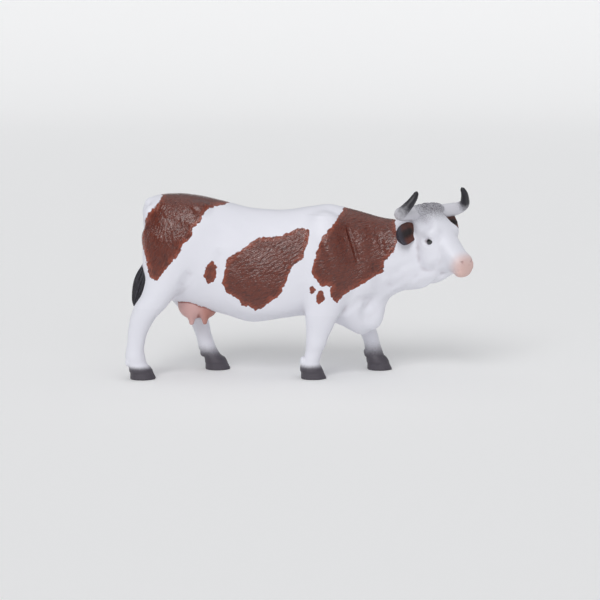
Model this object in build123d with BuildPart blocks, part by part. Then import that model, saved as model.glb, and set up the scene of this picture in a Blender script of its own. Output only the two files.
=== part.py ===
from build123d import *

import os
from math import cos, radians, sin

# Cow figurine, walking, with its head turned to its right.
# The figure is moulded in pieces that plug together: two trunk halves with locating pins, one piece for
# head and neck, four legs, an udder, a tail, two horns and two ears. Each piece has a peg in a socket.
# +X is forward, +Y is the cow's left and +Z is up. The soles stand on Z = 0. Lengths are millimetres.

# Trunk sizes
trunk_length = 70.0  # rump end to withers
trunk_depth = 44.0  # belly to back, at the barrel
trunk_width = 31.0  # across the barrel
belly_height = 20.0  # table to belly
wall = 3.0  # moulded wall round the hollow barrel

# Neck and head sizes
neck_reach = 35.8  # withers to poll, along the trunk
neck_sway = 8.0  # how far the throat swings to the right
poll_sway = 5.0  # how far the poll swings to the right
poll_height = 65.6
head_turn = 46.0  # degrees to the right
head_length = 18.8  # poll to muzzle, along the heading
head_depth = 26.0  # poll to jaw
head_width = 17.2  # across the brows
eye_radius = 1.3
brow_radius = 2.6
muzzle_rounding = 1.8
poll_rounding = 2.2
nostril_radius = 0.8

# Limb sizes
hind_joint_height = 27.0  # table to the seam below the thigh
haunch_top = 58.0
haunch_depth = 19.2  # fore and aft
haunch_breadth_share = 0.413  # of the trunk's width
haunch_breadth = trunk_width * haunch_breadth_share
fore_joint_height = 24.0  # table to the seam below the elbow
shoulder_top = 57.0
shoulder_depth = 18.4
shoulder_breadth_share = 0.4
shoulder_breadth = trunk_width * shoulder_breadth_share
hoof_height = 4.2
hoof_length = 10.2
hoof_breadth = 8.6
hoof_slope = 0.9  # how far the sole lies ahead of the hoof's rim
cleft_width = 1.1
dewclaw_radius = 0.9
dewclaw_length = 1.7
dewclaw_spread = 3.4  # between a leg's two dewclaws

# Horn, ear, tail and udder sizes
horn_radius = 2.5
ear_length = 10.2
ear_height = 8.2
ear_thickness = 4.6
ear_wall = 0.9
tail_radius = 1.7
udder_length = 13.6
udder_breadth_share = 0.323  # of the trunk's width
udder_breadth = trunk_width * udder_breadth_share
udder_drop = 4.2  # seam in the belly to the bag's floor
teat_radius = 0.95
teat_length = 3.2
teat_spacing = 4.8  # along the bag
teat_gap = 4.4  # across the bag

# Pegs, pins and their fits
fit_clearance = 0.1  # all round a peg in its socket
socket_relief = 0.4  # past a peg's end
limb_peg_length = 6.0
limb_peg_width = 3.4
limb_peg_height = 6.0
neck_peg_length = 15.0
neck_peg_width = 8.0
neck_peg_depth = 7.0
small_peg_radius = 1.1
small_peg_length = 3.0
udder_peg_radius = 2.0
udder_peg_length = 4.0
locating_pin_radius = 1.6
locating_pin_length = 4.0

# Section outlines: height of the widest place as a share of the whole height, then how full the outline
# is below it and above it (an ellipse is 0.55)
rump_shares = (0.55, 0.60, 0.64)
barrel_shares = (0.46, 0.64, 0.52)
chest_shares = (0.52, 0.42, 0.54)
neck_shares = (0.50, 0.45, 0.47)
poll_shares = (0.80, 0.50, 0.80)
temple_shares = (0.64, 0.50, 0.55)
brow_shares = (0.66, 0.50, 0.58)
muzzle_shares = (0.50, 0.62, 0.55)

# Trunk sections, rump to neck joint: low and high points as shares of the trunk's length and depth
# (heights count from the belly), then the width share and the outline
trunk_section_shares = [
    (0.009, 0.409, 0.009, 0.932, 0.29, rump_shares),
    (0.029, 0.318, 0.029, 1.045, 0.55, rump_shares),
    (0.069, 0.227, 0.069, 1.086, 0.72, rump_shares),
    (0.143, 0.136, 0.143, 1.100, 0.85, rump_shares),
    (0.257, 0.102, 0.257, 1.086, 0.915, rump_shares),
    (0.400, 0.052, 0.400, 1.036, 0.955, barrel_shares),
    (0.549, 0.000, 0.549, 0.973, 1.00, barrel_shares),
    (0.714, 0.043, 0.714, 0.955, 0.995, barrel_shares),
    (0.857, 0.068, 0.857, 0.989, 0.93, barrel_shares),
    (1.014, -0.027, 0.914, 1.002, 0.88, chest_shares),
    (1.143, -0.118, 0.957, 1.009, 0.83, chest_shares),
    (1.229, 0.011, 0.981, 1.007, 0.775, chest_shares),
    (1.279, 0.182, 1.000, 1.000, 0.73, neck_shares),
]
hollow_first, hollow_last = 4, 8  # the sections between which the barrel is hollow

# Neck sections, from the joint to inside the skull: low and high points as shares of the neck's reach
# past the withers and of the trunk's depth, then the width share and the share of the turn
neck_section_shares = [
    (0.620, 0.227, 0.225, 0.959, 0.62, 0.10),
    (0.718, 0.261, 0.451, 0.898, 0.548, 0.30),
    (0.831, 0.286, 0.634, 0.882, 0.51, 0.55),
    (0.958, 0.364, 0.789, 0.886, 0.45, 0.80),
]

# Head sections, skull to nose: low and high points as shares of the head's length past the poll and of
# its depth below the poll, then the width share and the outline
head_section_shares = [
    (-0.350, -0.885, -0.318, -0.095, 0.80, poll_shares),
    (-0.125, -0.965, -0.110, -0.031, 0.96, poll_shares),
    (0.043, -1.000, 0.085, -0.108, 0.91, temple_shares),
    (0.202, -1.015, 0.266, -0.242, 0.97, brow_shares),
    (0.390, -1.005, 0.435, -0.400, 0.61, brow_shares),
    (0.595, -0.985, 0.643, -0.535, 0.560, muzzle_shares),
    (0.755, -1.000, 0.800, -0.680, 0.560, muzzle_shares),
    (0.880, -0.975, 0.915, -0.755, 0.460, muzzle_shares),
]
eye_shares = (0.266, 0.86, -0.535)  # forward, out and down, of the head's length, half width and depth
brow_place_shares = (0.225, 0.635, -0.395)
nostril_shares = (0.910, 0.29, -0.80)

# Thighs and shoulders, top to seam: height share above the seam, place along the trunk, fore-and-aft
# share, place across the trunk and breadth share
haunch_right_shares = [
    (1.00, 0.129, 0.640, 0.375, 0.64),
    (0.75, 0.117, 0.990, 0.490, 1.00),
    (0.50, 0.110, 0.990, 0.540, 0.97),
    (0.25, 0.069, 0.760, 0.597, 0.84),
    (0.00, 0.007, 0.730, 0.645, 0.67),
]
haunch_left_shares = [
    (1.00, 0.129, 0.640, 0.375, 0.64),
    (0.75, 0.129, 1.000, 0.490, 1.00),
    (0.50, 0.136, 1.000, 0.540, 0.97),
    (0.25, 0.156, 0.865, 0.597, 0.84),
    (0.00, 0.191, 0.690, 0.645, 0.67),
]
shoulder_right_shares = [
    (1.00, 0.914, 0.430, 0.342, 0.60),
    (0.75, 0.947, 0.826, 0.471, 1.00),
    (0.50, 0.964, 0.978, 0.519, 0.99),
    (0.25, 0.949, 0.957, 0.565, 0.87),
    (0.00, 0.923, 0.717, 0.594, 0.71),
]
shoulder_left_shares = [
    (1.00, 0.929, 0.430, 0.342, 0.60),
    (0.75, 0.977, 0.826, 0.471, 1.00),
    (0.50, 1.026, 0.935, 0.519, 0.99),
    (0.25, 1.086, 0.826, 0.565, 0.87),
    (0.00, 1.133, 0.587, 0.594, 0.71),
]

# Legs, seam to hoof rim: height share above the hoof, forward share of the seam's height, then the
# fore-and-aft and breadth shares of the haunch or shoulder above
hindleg_right_shares = [
    (1.000, 0.000, 0.73, 0.67),
    (0.868, -0.059, 0.594, 0.62),
    (0.693, -0.130, 0.432, 0.55),
    (0.386, -0.189, 0.385, 0.50),
    (0.210, -0.189, 0.417, 0.55),
    (0.079, -0.144, 0.406, 0.55),
    (0.000, -0.122, 0.458, 0.61),
]
hindleg_left_shares = [
    (1.000, 0.000, 0.69, 0.67),
    (0.868, 0.056, 0.552, 0.62),
    (0.693, 0.156, 0.406, 0.55),
    (0.386, 0.222, 0.354, 0.50),
    (0.210, 0.267, 0.365, 0.53),
    (0.079, 0.333, 0.385, 0.55),
    (0.000, 0.378, 0.427, 0.60),
]
foreleg_right_shares = [
    (1.000, 0.000, 0.717, 0.71),
    (0.848, -0.017, 0.652, 0.68),
    (0.646, -0.067, 0.522, 0.61),
    (0.444, -0.100, 0.489, 0.60),
    (0.293, -0.142, 0.424, 0.55),
    (0.141, -0.183, 0.391, 0.54),
    (0.000, -0.190, 0.430, 0.60),
]
foreleg_left_shares = [
    (1.000, 0.000, 0.587, 0.71),
    (0.848, 0.033, 0.520, 0.66),
    (0.646, 0.108, 0.390, 0.58),
    (0.444, 0.171, 0.348, 0.53),
    (0.293, 0.196, 0.359, 0.53),
    (0.141, 0.221, 0.380, 0.55),
    (0.000, 0.2625, 0.435, 0.62),
]
dewclaw_row = -2  # the leg section that carries the dewclaws
cleft_share = 0.5  # of the hoof's length, from the toe

# Horn line from its root: forward, out and up, as shares of the head's length, half width and depth
horn_line_shares = [
    (-0.117, 0.58, -0.167),
    (-0.138, 0.93, -0.158),
    (-0.128, 1.44, -0.146),
    (-0.053, 1.79, -0.119),
    (0.064, 1.87, -0.054),
    (0.165, 1.72, 0.038),
    (0.223, 1.55, 0.119),
    (0.255, 1.38, 0.181),
]
horn_taper_shares = [(0.0, 0.84), (0.22, 0.96), (0.42, 0.92), (0.58, 0.80), (0.80, 0.56), (1.0, 0.26)]
ear_root_shares = (-0.130, 0.76, -0.370)  # as for the horn
ear_tip_right_shares = (-0.096, 1.93, -0.415)  # this ear hangs and the other is pricked
ear_tip_left_shares = (-0.096, 1.82, -0.308)
ear_swell_shares = [(0.0, 0.45), (0.25, 0.84), (0.55, 1.0), (0.8, 0.93), (0.95, 0.66), (1.0, 0.36)]

# Tail line: along the trunk's length and up its depth, both as shares, then the thickness shares
tail_line_shares = [
    (0.045, 1.02),
    (0.003, 1.025),
    (-0.016, 0.966),
    (-0.019, 0.818),
    (-0.017, 0.614),
    (-0.034, 0.443),
    (-0.062, 0.273),
    (-0.092, 0.118),
]
tail_taper_shares = [
    (0.0, 1.0), (0.12, 0.88), (0.3, 0.68), (0.5, 0.60), (0.62, 0.62), (0.76, 1.35), (0.9, 1.0), (1.0, 0.3),
]

# Udder: height share of the drop below the seam, length share and breadth share
udder_section_shares = [(-0.60, 0.95, 0.95), (0.00, 1.00, 1.00), (0.55, 0.92, 0.93), (1.00, 0.60, 0.64)]
udder_place_share = 0.254  # centre along the trunk
udder_peg_place_share = 0.2
locating_pin_shares = [(0.13, 0.76), (0.97, 0.52), (1.09, 0.08)]  # along the trunk's length, up its depth


def trunk_point(along, up):
    """Point of the trunk's middle plane, from shares of its length and of its depth above the belly."""
    return (trunk_length * along, belly_height + trunk_depth * up)


def upright_plane(frame, low, high):
    """Plane of a section: x is the frame's left, y runs from the low point to the high point."""
    foot = frame.from_local_coords(Vector(low[0], 0, low[1]))
    crown = frame.from_local_coords(Vector(high[0], 0, high[1]))
    return Plane(origin=foot, x_dir=frame.y_dir, z_dir=frame.y_dir.cross(crown - foot))


def egg_section(frame, low, high, half_width, outline_shares):
    """Closed outline, alike on both sides, that stands on the low point and reaches the high point."""
    rise = (Vector(*high) - Vector(*low)).length
    waist_share, low_share, high_share = outline_shares
    waist = rise * waist_share
    brow = waist + (rise - waist) * high_share
    hip = waist - waist * low_share
    left, left_foot, left_crown = half_width, half_width * low_share, half_width * high_share
    with BuildLine(upright_plane(frame, low, high)) as outline:
        Bezier((0, 0), (left_foot, 0), (left, hip), (left, waist))
        Bezier((left, waist), (left, brow), (left_crown, rise), (0, rise))
        Bezier((0, rise), (-left_crown, rise), (-left, brow), (-left, waist))
        Bezier((-left, waist), (-left, hip), (-left_foot, 0), (0, 0))
    return Face(outline.wire())


def trunk_section(row, inset=0.0):
    """Trunk section of one table row, drawn in by the inset all round."""
    low_x, low_z = trunk_point(row[0], row[1])
    high_x, high_z = trunk_point(row[2], row[3])
    half_width = row[4] * trunk_width / 2 - inset
    return egg_section(Plane.XY, (low_x, low_z + inset), (high_x, high_z - inset), half_width, row[5])


def neck_section(row):
    """Neck section of one table row, turned and swung to the right by its share."""
    low_x, low_z = trunk_length + neck_reach * row[0], belly_height + trunk_depth * row[1]
    high_x, high_z = trunk_length + neck_reach * row[2], belly_height + trunk_depth * row[3]
    middle_x = (low_x + high_x) / 2
    turn = radians(head_turn * row[5])
    forward = (cos(turn), -sin(turn), 0)
    frame = Plane(origin=(middle_x, -neck_sway * row[5], 0), x_dir=forward, z_dir=(0, 0, 1))
    low, high = (low_x - middle_x, low_z), (high_x - middle_x, high_z)
    return egg_section(frame, low, high, row[4] * trunk_width / 2, neck_shares)


def head_point(shares, side=0):
    """Point on the head: forward, out on the given side (left is 1) and up from the poll, from shares."""
    forward, out, up = shares
    local = Vector(head_length * forward, side * head_width / 2 * out, head_depth * up)
    return head_frame.from_local_coords(local)


def ellipse_section(height, centre, depth, breadth):
    """Level ellipse at a height: depth is its fore-and-aft size and breadth its size across."""
    with BuildSketch(Plane.XY.offset(height)) as section:
        with Locations(centre):
            Ellipse(depth / 2, breadth / 2)
    return section.sketch


def round_sections(line, radii_shares, radius, across):
    """Circles square to a line, at shares of its length, tapering by the second share. Each starts on the
    side that the given direction points to, so that the loft doesn't twist."""
    sections = []
    for along, swell in radii_shares:
        tangent = line % along
        start = across - tangent * across.dot(tangent)
        with BuildSketch(Plane(origin=line @ along, x_dir=start, z_dir=tangent)) as section:
            Circle(radius * swell)
        sections.append(section.sketch)
    return sections


class Limb:
    """One leg and the thigh or shoulder above it, which share the seam's ellipse."""

    def __init__(self, label, side, root_shares, leg_shares, joint_height, root_top, depth, breadth):
        self.label = label
        self.side = side
        self.root_shares = root_shares
        self.leg_shares = leg_shares
        self.joint_height = joint_height
        self.root_top = root_top
        self.depth = depth
        self.breadth = breadth
        seam = root_shares[-1]
        self.joint_x = trunk_length * seam[1]
        self.joint_y = side * trunk_width / 2 * seam[3]

    def root_sections(self):
        """Level sections of the thigh or shoulder, from inside the trunk down to the seam."""
        sections = []
        for up, along, depth, out, breadth in self.root_shares:
            height = self.joint_height + (self.root_top - self.joint_height) * up
            centre = (trunk_length * along, self.side * trunk_width / 2 * out)
            sections.append(ellipse_section(height, centre, self.depth * depth, self.breadth * breadth))
        return sections

    def leg_row(self, row):
        """Height, centre and sizes of one leg section."""
        up, forward, depth, breadth = row
        height = hoof_height + (self.joint_height - hoof_height) * up
        centre = (self.joint_x + self.joint_height * forward, self.joint_y)
        return height, centre, self.depth * depth, self.breadth * breadth

    def peg_plane(self):
        """Level plane at the seam, centred on the peg."""
        return Plane(origin=(self.joint_x, self.joint_y, self.joint_height))


limbs = [
    Limb("hindleg_right", -1, haunch_right_shares, hindleg_right_shares, hind_joint_height, haunch_top,
         haunch_depth, haunch_breadth),
    Limb("hindleg_left", 1, haunch_left_shares, hindleg_left_shares, hind_joint_height, haunch_top,
         haunch_depth, haunch_breadth),
    Limb("foreleg_right", -1, shoulder_right_shares, foreleg_right_shares, fore_joint_height, shoulder_top,
         shoulder_depth, shoulder_breadth),
    Limb("foreleg_left", 1, shoulder_left_shares, foreleg_left_shares, fore_joint_height, shoulder_top,
         shoulder_depth, shoulder_breadth),
]

# The head's own frame: origin at the poll, x along the heading
heading = radians(head_turn)
head_frame = Plane(
    origin=(trunk_length + neck_reach, -poll_sway, poll_height),
    x_dir=(cos(heading), -sin(heading), 0),
    z_dir=(0, 0, 1),
)

# The neck joint lies in the plane of the last trunk section
joint_row = trunk_section_shares[-1]
joint_low = trunk_point(joint_row[0], joint_row[1])
joint_high = trunk_point(joint_row[2], joint_row[3])
neck_joint = upright_plane(Plane.XY, joint_low, joint_high)
neck_joint_rise = (Vector(*joint_high) - Vector(*joint_low)).length

# The whole trunk, before it is cut in halves
with BuildPart() as trunk_core:
    loft([trunk_section(row) for row in trunk_section_shares])

# The hollow inside the barrel
with BuildPart() as barrel_hollow:
    loft([trunk_section(row, inset=wall) for row in trunk_section_shares[hollow_first : hollow_last + 1]])

# Tail line in the middle plane, and the height of the udder's seam in the belly
tail_points = [(x, 0, z) for x, z in (trunk_point(*point) for point in tail_line_shares)]
tail_line = Spline(*tail_points, mode=Mode.PRIVATE)
udder_seam_height = trunk_point(0, trunk_section_shares[hollow_first][1])[1]
udder_floor_height = udder_seam_height - udder_drop


def limb_sockets(side):
    """Keyed sockets for the two legs of one side."""
    with BuildPart() as sockets:
        for limb in limbs:
            if limb.side == side:
                with BuildSketch(limb.peg_plane()):
                    SlotOverall(limb_peg_length + 2 * fit_clearance, limb_peg_width + 2 * fit_clearance)
                extrude(amount=limb_peg_height + socket_relief)
    return sockets.part


def tail_peg(clearance, relief):
    """Level peg from the tail's bend forward into the rump."""
    with BuildPart() as peg:
        with BuildSketch(Plane(origin=tail_points[1], z_dir=(1, 0, 0))):
            Circle(small_peg_radius + clearance)
        extrude(amount=tail_radius + small_peg_length + relief)
    return peg.part


def udder_peg(clearance, relief):
    """Upright peg from inside the bag into the belly."""
    foot = (trunk_length * udder_peg_place_share, 0, udder_seam_height - udder_drop / 2)
    with BuildPart() as peg:
        with BuildSketch(Plane(origin=foot)):
            Circle(udder_peg_radius + clearance)
        extrude(amount=udder_drop / 2 + udder_peg_length + relief)
    return peg.part


def neck_peg(clearance, relief):
    """Keyed peg from the neck's joint face back into the trunk."""
    with BuildPart() as peg:
        with BuildSketch(neck_joint):
            with Locations((0, neck_joint_rise / 2)):
                SlotOverall(neck_peg_length + 2 * clearance, neck_peg_width + 2 * clearance, rotation=90)
        extrude(amount=-(neck_peg_depth + relief))
    return peg.part


def locating_pins(clearance, length):
    """Pins that reach from the middle plane into the left half."""
    with BuildPart() as pins:
        with BuildSketch(Plane.XZ):
            with Locations(*[trunk_point(along, up) for along, up in locating_pin_shares]):
                Circle(locating_pin_radius + clearance)
        extrude(amount=-length)
    return pins.part


def trunk_blank(side):
    """One half of the trunk with its thigh and shoulder, still solid."""
    with BuildPart() as blank:
        add(trunk_core.part)
        split(bisect_by=Plane.XZ, keep=Keep.TOP if side < 0 else Keep.BOTTOM)
        for limb in limbs:
            if limb.side == side:
                loft(limb.root_sections())
    return blank.part


trunk_blanks = {side: trunk_blank(side) for side in (-1, 1)}


def trunk_half(side):
    """One half of the trunk, hollow in the barrel, with the sockets for its neighbours."""
    with BuildPart() as half:
        add(trunk_blanks[side])
        add(barrel_hollow.part, mode=Mode.SUBTRACT)
        add(limb_sockets(side), mode=Mode.SUBTRACT)
        add(neck_peg(fit_clearance, socket_relief), mode=Mode.SUBTRACT)
        add(tail_peg(fit_clearance, socket_relief), mode=Mode.SUBTRACT)
        add(udder_peg(fit_clearance, socket_relief), mode=Mode.SUBTRACT)
        if side < 0:
            add(locating_pins(0, locating_pin_length))
        else:
            add(locating_pins(fit_clearance, locating_pin_length + socket_relief), mode=Mode.SUBTRACT)
    return half.part


def leg(limb):
    """A leg with its peg, cloven hoof and two dewclaws."""
    rows = [limb.leg_row(row) for row in limb.leg_shares]
    rim_centre = rows[-1][1]
    sole_centre = (rim_centre[0] + hoof_slope, rim_centre[1])
    claw_height, claw_centre, claw_depth, _ = rows[dewclaw_row]
    with BuildPart() as shaped:
        loft([ellipse_section(*row) for row in rows])
        add(trunk_blanks[limb.side], mode=Mode.SUBTRACT)
        with BuildSketch(limb.peg_plane()):
            SlotOverall(limb_peg_length, limb_peg_width)
        extrude(amount=limb_peg_height)
        sole = ellipse_section(0, sole_centre, hoof_length, hoof_breadth)
        loft([ellipse_section(*rows[-1]), sole], ruled=True)
        with BuildSketch(Plane.XY):
            with BuildLine():
                toe = sole_centre[0] + hoof_length / 2 + cleft_width
                Polyline(
                    (toe, sole_centre[1] - cleft_width),
                    (toe, sole_centre[1] + cleft_width),
                    (toe - hoof_length * cleft_share, sole_centre[1]),
                    close=True,
                )
            make_face()
        extrude(amount=hoof_height, mode=Mode.SUBTRACT)
        claw_x, claw_y = claw_centre[0] - claw_depth / 2, claw_centre[1]
        with Locations(*[(claw_x, claw_y + dewclaw_spread / 2 * hand, claw_height) for hand in (-1, 1)]):
            Cone(dewclaw_radius / 2, dewclaw_radius, dewclaw_length)
    return shaped.part


def horn_blank(side):
    """A horn that leaves the skull sideways, then bends forward and up."""
    line = Spline(*[head_point(point, side) for point in horn_line_shares], mode=Mode.PRIVATE)
    with BuildPart() as blank:
        loft(round_sections(line, horn_taper_shares, horn_radius, head_frame.x_dir - head_frame.z_dir))
    return blank.part


def horn(side):
    """A horn cut to the skull, with its peg."""
    with BuildPart() as shaped:
        add(horn_blank(side))
        add(skull.part, mode=Mode.SUBTRACT)
        add(horn_peg(side, 0))
    return shaped.part


def horn_peg(side, clearance):
    """Peg from the horn's root into the skull."""
    root, second = [head_point(point, side) for point in horn_line_shares[:2]]
    with BuildPart() as peg:
        with BuildSketch(Plane(origin=second, z_dir=root - second)):
            Circle(small_peg_radius + clearance)
        extrude(amount=(root - second).length + small_peg_length + (socket_relief if clearance else 0))
    return peg.part


def ear_planes(side):
    """Planes square to the ear's line, with the height upright, and the swell share of each."""
    tip_shares = ear_tip_left_shares if side == 1 else ear_tip_right_shares
    root, tip = head_point(ear_root_shares, side), head_point(tip_shares, side)
    along = (tip - root).normalized()
    across = Vector(0, 0, 1).cross(along).normalized()
    return [(Plane(origin=root + along * ear_length * share, x_dir=across, z_dir=along), swell)
            for share, swell in ear_swell_shares]


def ear(side):
    """A cupped ear that opens forward and down."""
    front = -side * ear_wall
    with BuildPart() as shaped:
        shell, cup = [], []
        for plane, swell in ear_planes(side):
            with BuildSketch(plane) as outside:
                Ellipse(ear_thickness / 2 * swell, ear_height / 2 * swell)
            with BuildSketch(plane) as inside:
                with Locations((front, -ear_wall / 2)):
                    Ellipse(max(ear_thickness / 2 * swell - ear_wall / 2, ear_wall / 2),
                            max(ear_height / 2 * swell - ear_wall, ear_wall / 2))
            shell.append(outside.sketch)
            cup.append(inside.sketch)
        loft(shell)
        loft(cup[2:], mode=Mode.SUBTRACT)
        add(skull.part, mode=Mode.SUBTRACT)
        add(horn_blank(side), mode=Mode.SUBTRACT)
        add(ear_peg(side, 0))
    return shaped.part


def ear_peg(side, clearance):
    """Peg from the ear's root into the skull."""
    root_plane = ear_planes(side)[1][0]
    reach = ear_length * ear_swell_shares[1][0] + small_peg_length + (socket_relief if clearance else 0)
    with BuildPart() as peg:
        with BuildSketch(root_plane):
            Circle(small_peg_radius + clearance)
        extrude(amount=-reach)
    return peg.part


# Head and neck without pegs: the neck's loft from the joint, the skull's loft, eyes and nostrils
with BuildPart() as skull:
    loft([trunk_section(joint_row)] + [neck_section(row) for row in neck_section_shares])
    head_sections = []
    for low_x, low_z, high_x, high_z, width, outline in head_section_shares:
        low = (head_length * low_x, head_depth * low_z)
        high = (head_length * high_x, head_depth * high_z)
        head_sections.append(egg_section(head_frame, low, high, width * head_width / 2, outline))
    with BuildPart() as face:
        loft(head_sections)
        nape, *_, nose = face.faces().sort_by(Axis(head_frame.origin, head_frame.x_dir))
        fillet(nose.edges(), muzzle_rounding)
        fillet(nape.edges(), poll_rounding)
    with Locations(*[head_point(brow_place_shares, side) for side in (-1, 1)]):
        Sphere(brow_radius)
    with Locations(*[head_point(eye_shares, side) for side in (-1, 1)]):
        Sphere(eye_radius)
    with Locations(*[head_point(nostril_shares, side) for side in (-1, 1)]):
        Sphere(nostril_radius, mode=Mode.SUBTRACT)

with BuildPart() as head_and_neck:
    add(skull.part)
    add(neck_peg(0, 0))
    for side in (-1, 1):
        add(horn_peg(side, fit_clearance), mode=Mode.SUBTRACT)
        add(ear_peg(side, fit_clearance), mode=Mode.SUBTRACT)

with BuildPart() as tail:
    loft(round_sections(tail_line, tail_taper_shares, tail_radius, Plane.XY.y_dir))
    add(trunk_blanks[-1], mode=Mode.SUBTRACT)
    add(trunk_blanks[1], mode=Mode.SUBTRACT)
    add(tail_peg(0, 0))

with BuildPart() as udder:
    loft([
        ellipse_section(udder_seam_height - udder_drop * down, (trunk_length * udder_place_share, 0),
                        udder_length * long, udder_breadth * wide)
        for down, long, wide in udder_section_shares
    ])
    with Locations((trunk_length * udder_place_share, 0, udder_floor_height)):
        with GridLocations(teat_spacing, teat_gap, 2, 2):
            Cone(teat_radius / 2, teat_radius, teat_length)
    add(trunk_blanks[-1], mode=Mode.SUBTRACT)
    add(trunk_blanks[1], mode=Mode.SUBTRACT)
    add(udder_peg(0, 0))

pieces = {
    "trunk_right_half": trunk_half(-1),
    "trunk_left_half": trunk_half(1),
    "head_and_neck": head_and_neck.part,
    "horn_right": horn(-1),
    "horn_left": horn(1),
    "ear_right": ear(-1),
    "ear_left": ear(1),
    "tail": tail.part,
    "udder": udder.part,
}
for limb in limbs:
    pieces[limb.label] = leg(limb)

# The origin goes to the middle of the figure's base
boxes = [piece.bounding_box() for piece in pieces.values()]
middle_x = (min(box.min.X for box in boxes) + max(box.max.X for box in boxes)) / 2
middle_y = (min(box.min.Y for box in boxes) + max(box.max.Y for box in boxes)) / 2
home = Location((-middle_x, -middle_y, 0))
os.makedirs("parts", exist_ok=True)
for label, piece in pieces.items():
    placed = piece.moved(home)
    placed.label = label
    export_step(placed, f"parts/{label}.step")
    print(label, round(placed.volume, 1), placed.bounding_box().size)
print("moved home by", home.position)
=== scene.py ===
import math
from functools import partial

import bpy
import numpy as np
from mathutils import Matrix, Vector


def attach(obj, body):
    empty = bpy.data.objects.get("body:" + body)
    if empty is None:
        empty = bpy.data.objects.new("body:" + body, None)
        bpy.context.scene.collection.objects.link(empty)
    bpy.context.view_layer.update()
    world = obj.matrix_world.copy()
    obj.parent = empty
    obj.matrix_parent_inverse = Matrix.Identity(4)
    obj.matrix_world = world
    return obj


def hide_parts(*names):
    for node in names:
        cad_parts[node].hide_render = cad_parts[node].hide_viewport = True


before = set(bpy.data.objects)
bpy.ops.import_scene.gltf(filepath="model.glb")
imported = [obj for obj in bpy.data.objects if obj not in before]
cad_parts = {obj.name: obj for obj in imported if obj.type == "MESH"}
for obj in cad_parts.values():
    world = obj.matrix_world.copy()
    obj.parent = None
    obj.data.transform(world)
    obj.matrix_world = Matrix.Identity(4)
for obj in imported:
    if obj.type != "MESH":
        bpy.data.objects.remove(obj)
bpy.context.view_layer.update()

# Shapes are worked out in millimetres in the figure's own frame: +X forward from the rump's end, +Y to the
# cow's left from its middle plane, +Z up from the table. HOME moves them to the row's frame.
HOME = np.array([-55.906, 1.967, 0.0])
MM = 0.001
CELL = 0.34  # spacing of the grid that the body is sampled on
FAR = 6.0  # distance given to points well clear of the body
TINY = 1e-4  # least share of a half size, which keeps powers away from zero
NEAR_ZERO, SLIVER = 1e-6, 1e-5  # keep divisions away from it
SIDES = ((-1, "right"), (1, "left"))  # sign of y, and the word in the names of pieces
BOTH = (-1, 1)
FULL_TURN = 2 * math.pi
PHASE_END = 6.28  # upper end of a random phase
NOISE_WAVES, NOISE_STRETCH, NOISE_PEAK = 5, (0.7, 1.4), 3.0


# Curves through table rows


def smooth_rows(places, rows, at):
    """Values between table rows: a cubic through each pair of rows whose slopes are those of the chord
    between the rows on either side, so the curve passes through every row without a kink."""
    places, rows, at = np.asarray(places, float), np.asarray(rows, float), np.asarray(at, float)
    steps = np.diff(places)
    chords = np.diff(rows, axis=0) / steps[:, None]
    slopes = np.empty_like(rows)
    slopes[0], slopes[-1] = chords[0], chords[-1]
    weight = (steps[1:] / (steps[:-1] + steps[1:]))[:, None]
    slopes[1:-1] = weight * chords[:-1] + (1 - weight) * chords[1:]
    k = np.clip(np.searchsorted(places, at, side="right") - 1, 0, len(places) - 2)
    t = ((np.clip(at, places[0], places[-1]) - places[k]) / steps[k])[:, None]
    span = steps[k][:, None]
    return ((2 * t**3 - 3 * t**2 + 1) * rows[k] + (t**3 - 2 * t**2 + t) * span * slopes[k]
            + (3 * t**2 - 2 * t**3) * rows[k + 1] + (t**3 - t**2) * span * slopes[k + 1])


def smooth_step(low, high, value):
    """0 below low, 1 above high, and a smooth rise between."""
    t = np.clip((value - low) / (high - low), 0, 1)
    return t * t * (3 - 2 * t)


def join(a, b, k):
    """Smooth union of two distances: their minimum, rounded over a width k."""
    h = np.clip(0.5 + 0.5 * (b - a) / k, 0, 1)
    return b + (a - b) * h - k * h * (1 - h)


def carve(a, b, k):
    """Smooth cut of b out of a: the maximum of a and minus b, rounded over a width k."""
    return -join(-a, b, k)


def wave_noise(x, y, z, size, seed):
    """Soft noise between about -1 and 1: the sum of five sine waves of the given size, each along its own
    direction and with its own phase, drawn from a fixed seed."""
    rng = np.random.default_rng(seed)
    total = 0.0
    for _ in range(NOISE_WAVES):
        direction = rng.normal(size=3)
        direction *= FULL_TURN / size / np.linalg.norm(direction) * rng.uniform(*NOISE_STRETCH)
        phase = direction[0] * x + direction[1] * y + direction[2] * z + rng.uniform(0, PHASE_END)
        total = total + np.sin(phase)
    return total / NOISE_PEAK


# The sampling grid

GRID_LOW = np.array([-13.0, -26.5, -1.2])
GRID_HIGH = np.array([126.5, 18.5, 70.0])
GRID_COUNT = np.ceil((GRID_HIGH - GRID_LOW) / CELL).astype(int) + 1
grid_axes = [(GRID_LOW[i] + CELL * np.arange(GRID_COUNT[i])).astype(np.float32) for i in range(3)]


def block(low, high):
    """Slices of the grid between two corners, and the x, y and z of its points, ready to broadcast."""
    spans = []
    for i in range(3):
        a = int(np.clip(math.floor((low[i] - GRID_LOW[i]) / CELL), 0, GRID_COUNT[i] - 2))
        b = int(np.clip(math.ceil((high[i] - GRID_LOW[i]) / CELL) + 1, a + 2, GRID_COUNT[i]))
        spans.append(slice(a, b))
    x, y, z = (grid_axes[i][spans[i]] for i in range(3))
    return tuple(spans), x[:, None, None], y[None, :, None], z[None, None, :]


def new_field():
    """Distances of a grid that holds nothing yet."""
    return np.full(GRID_COUNT, FAR, dtype=np.float32)


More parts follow.
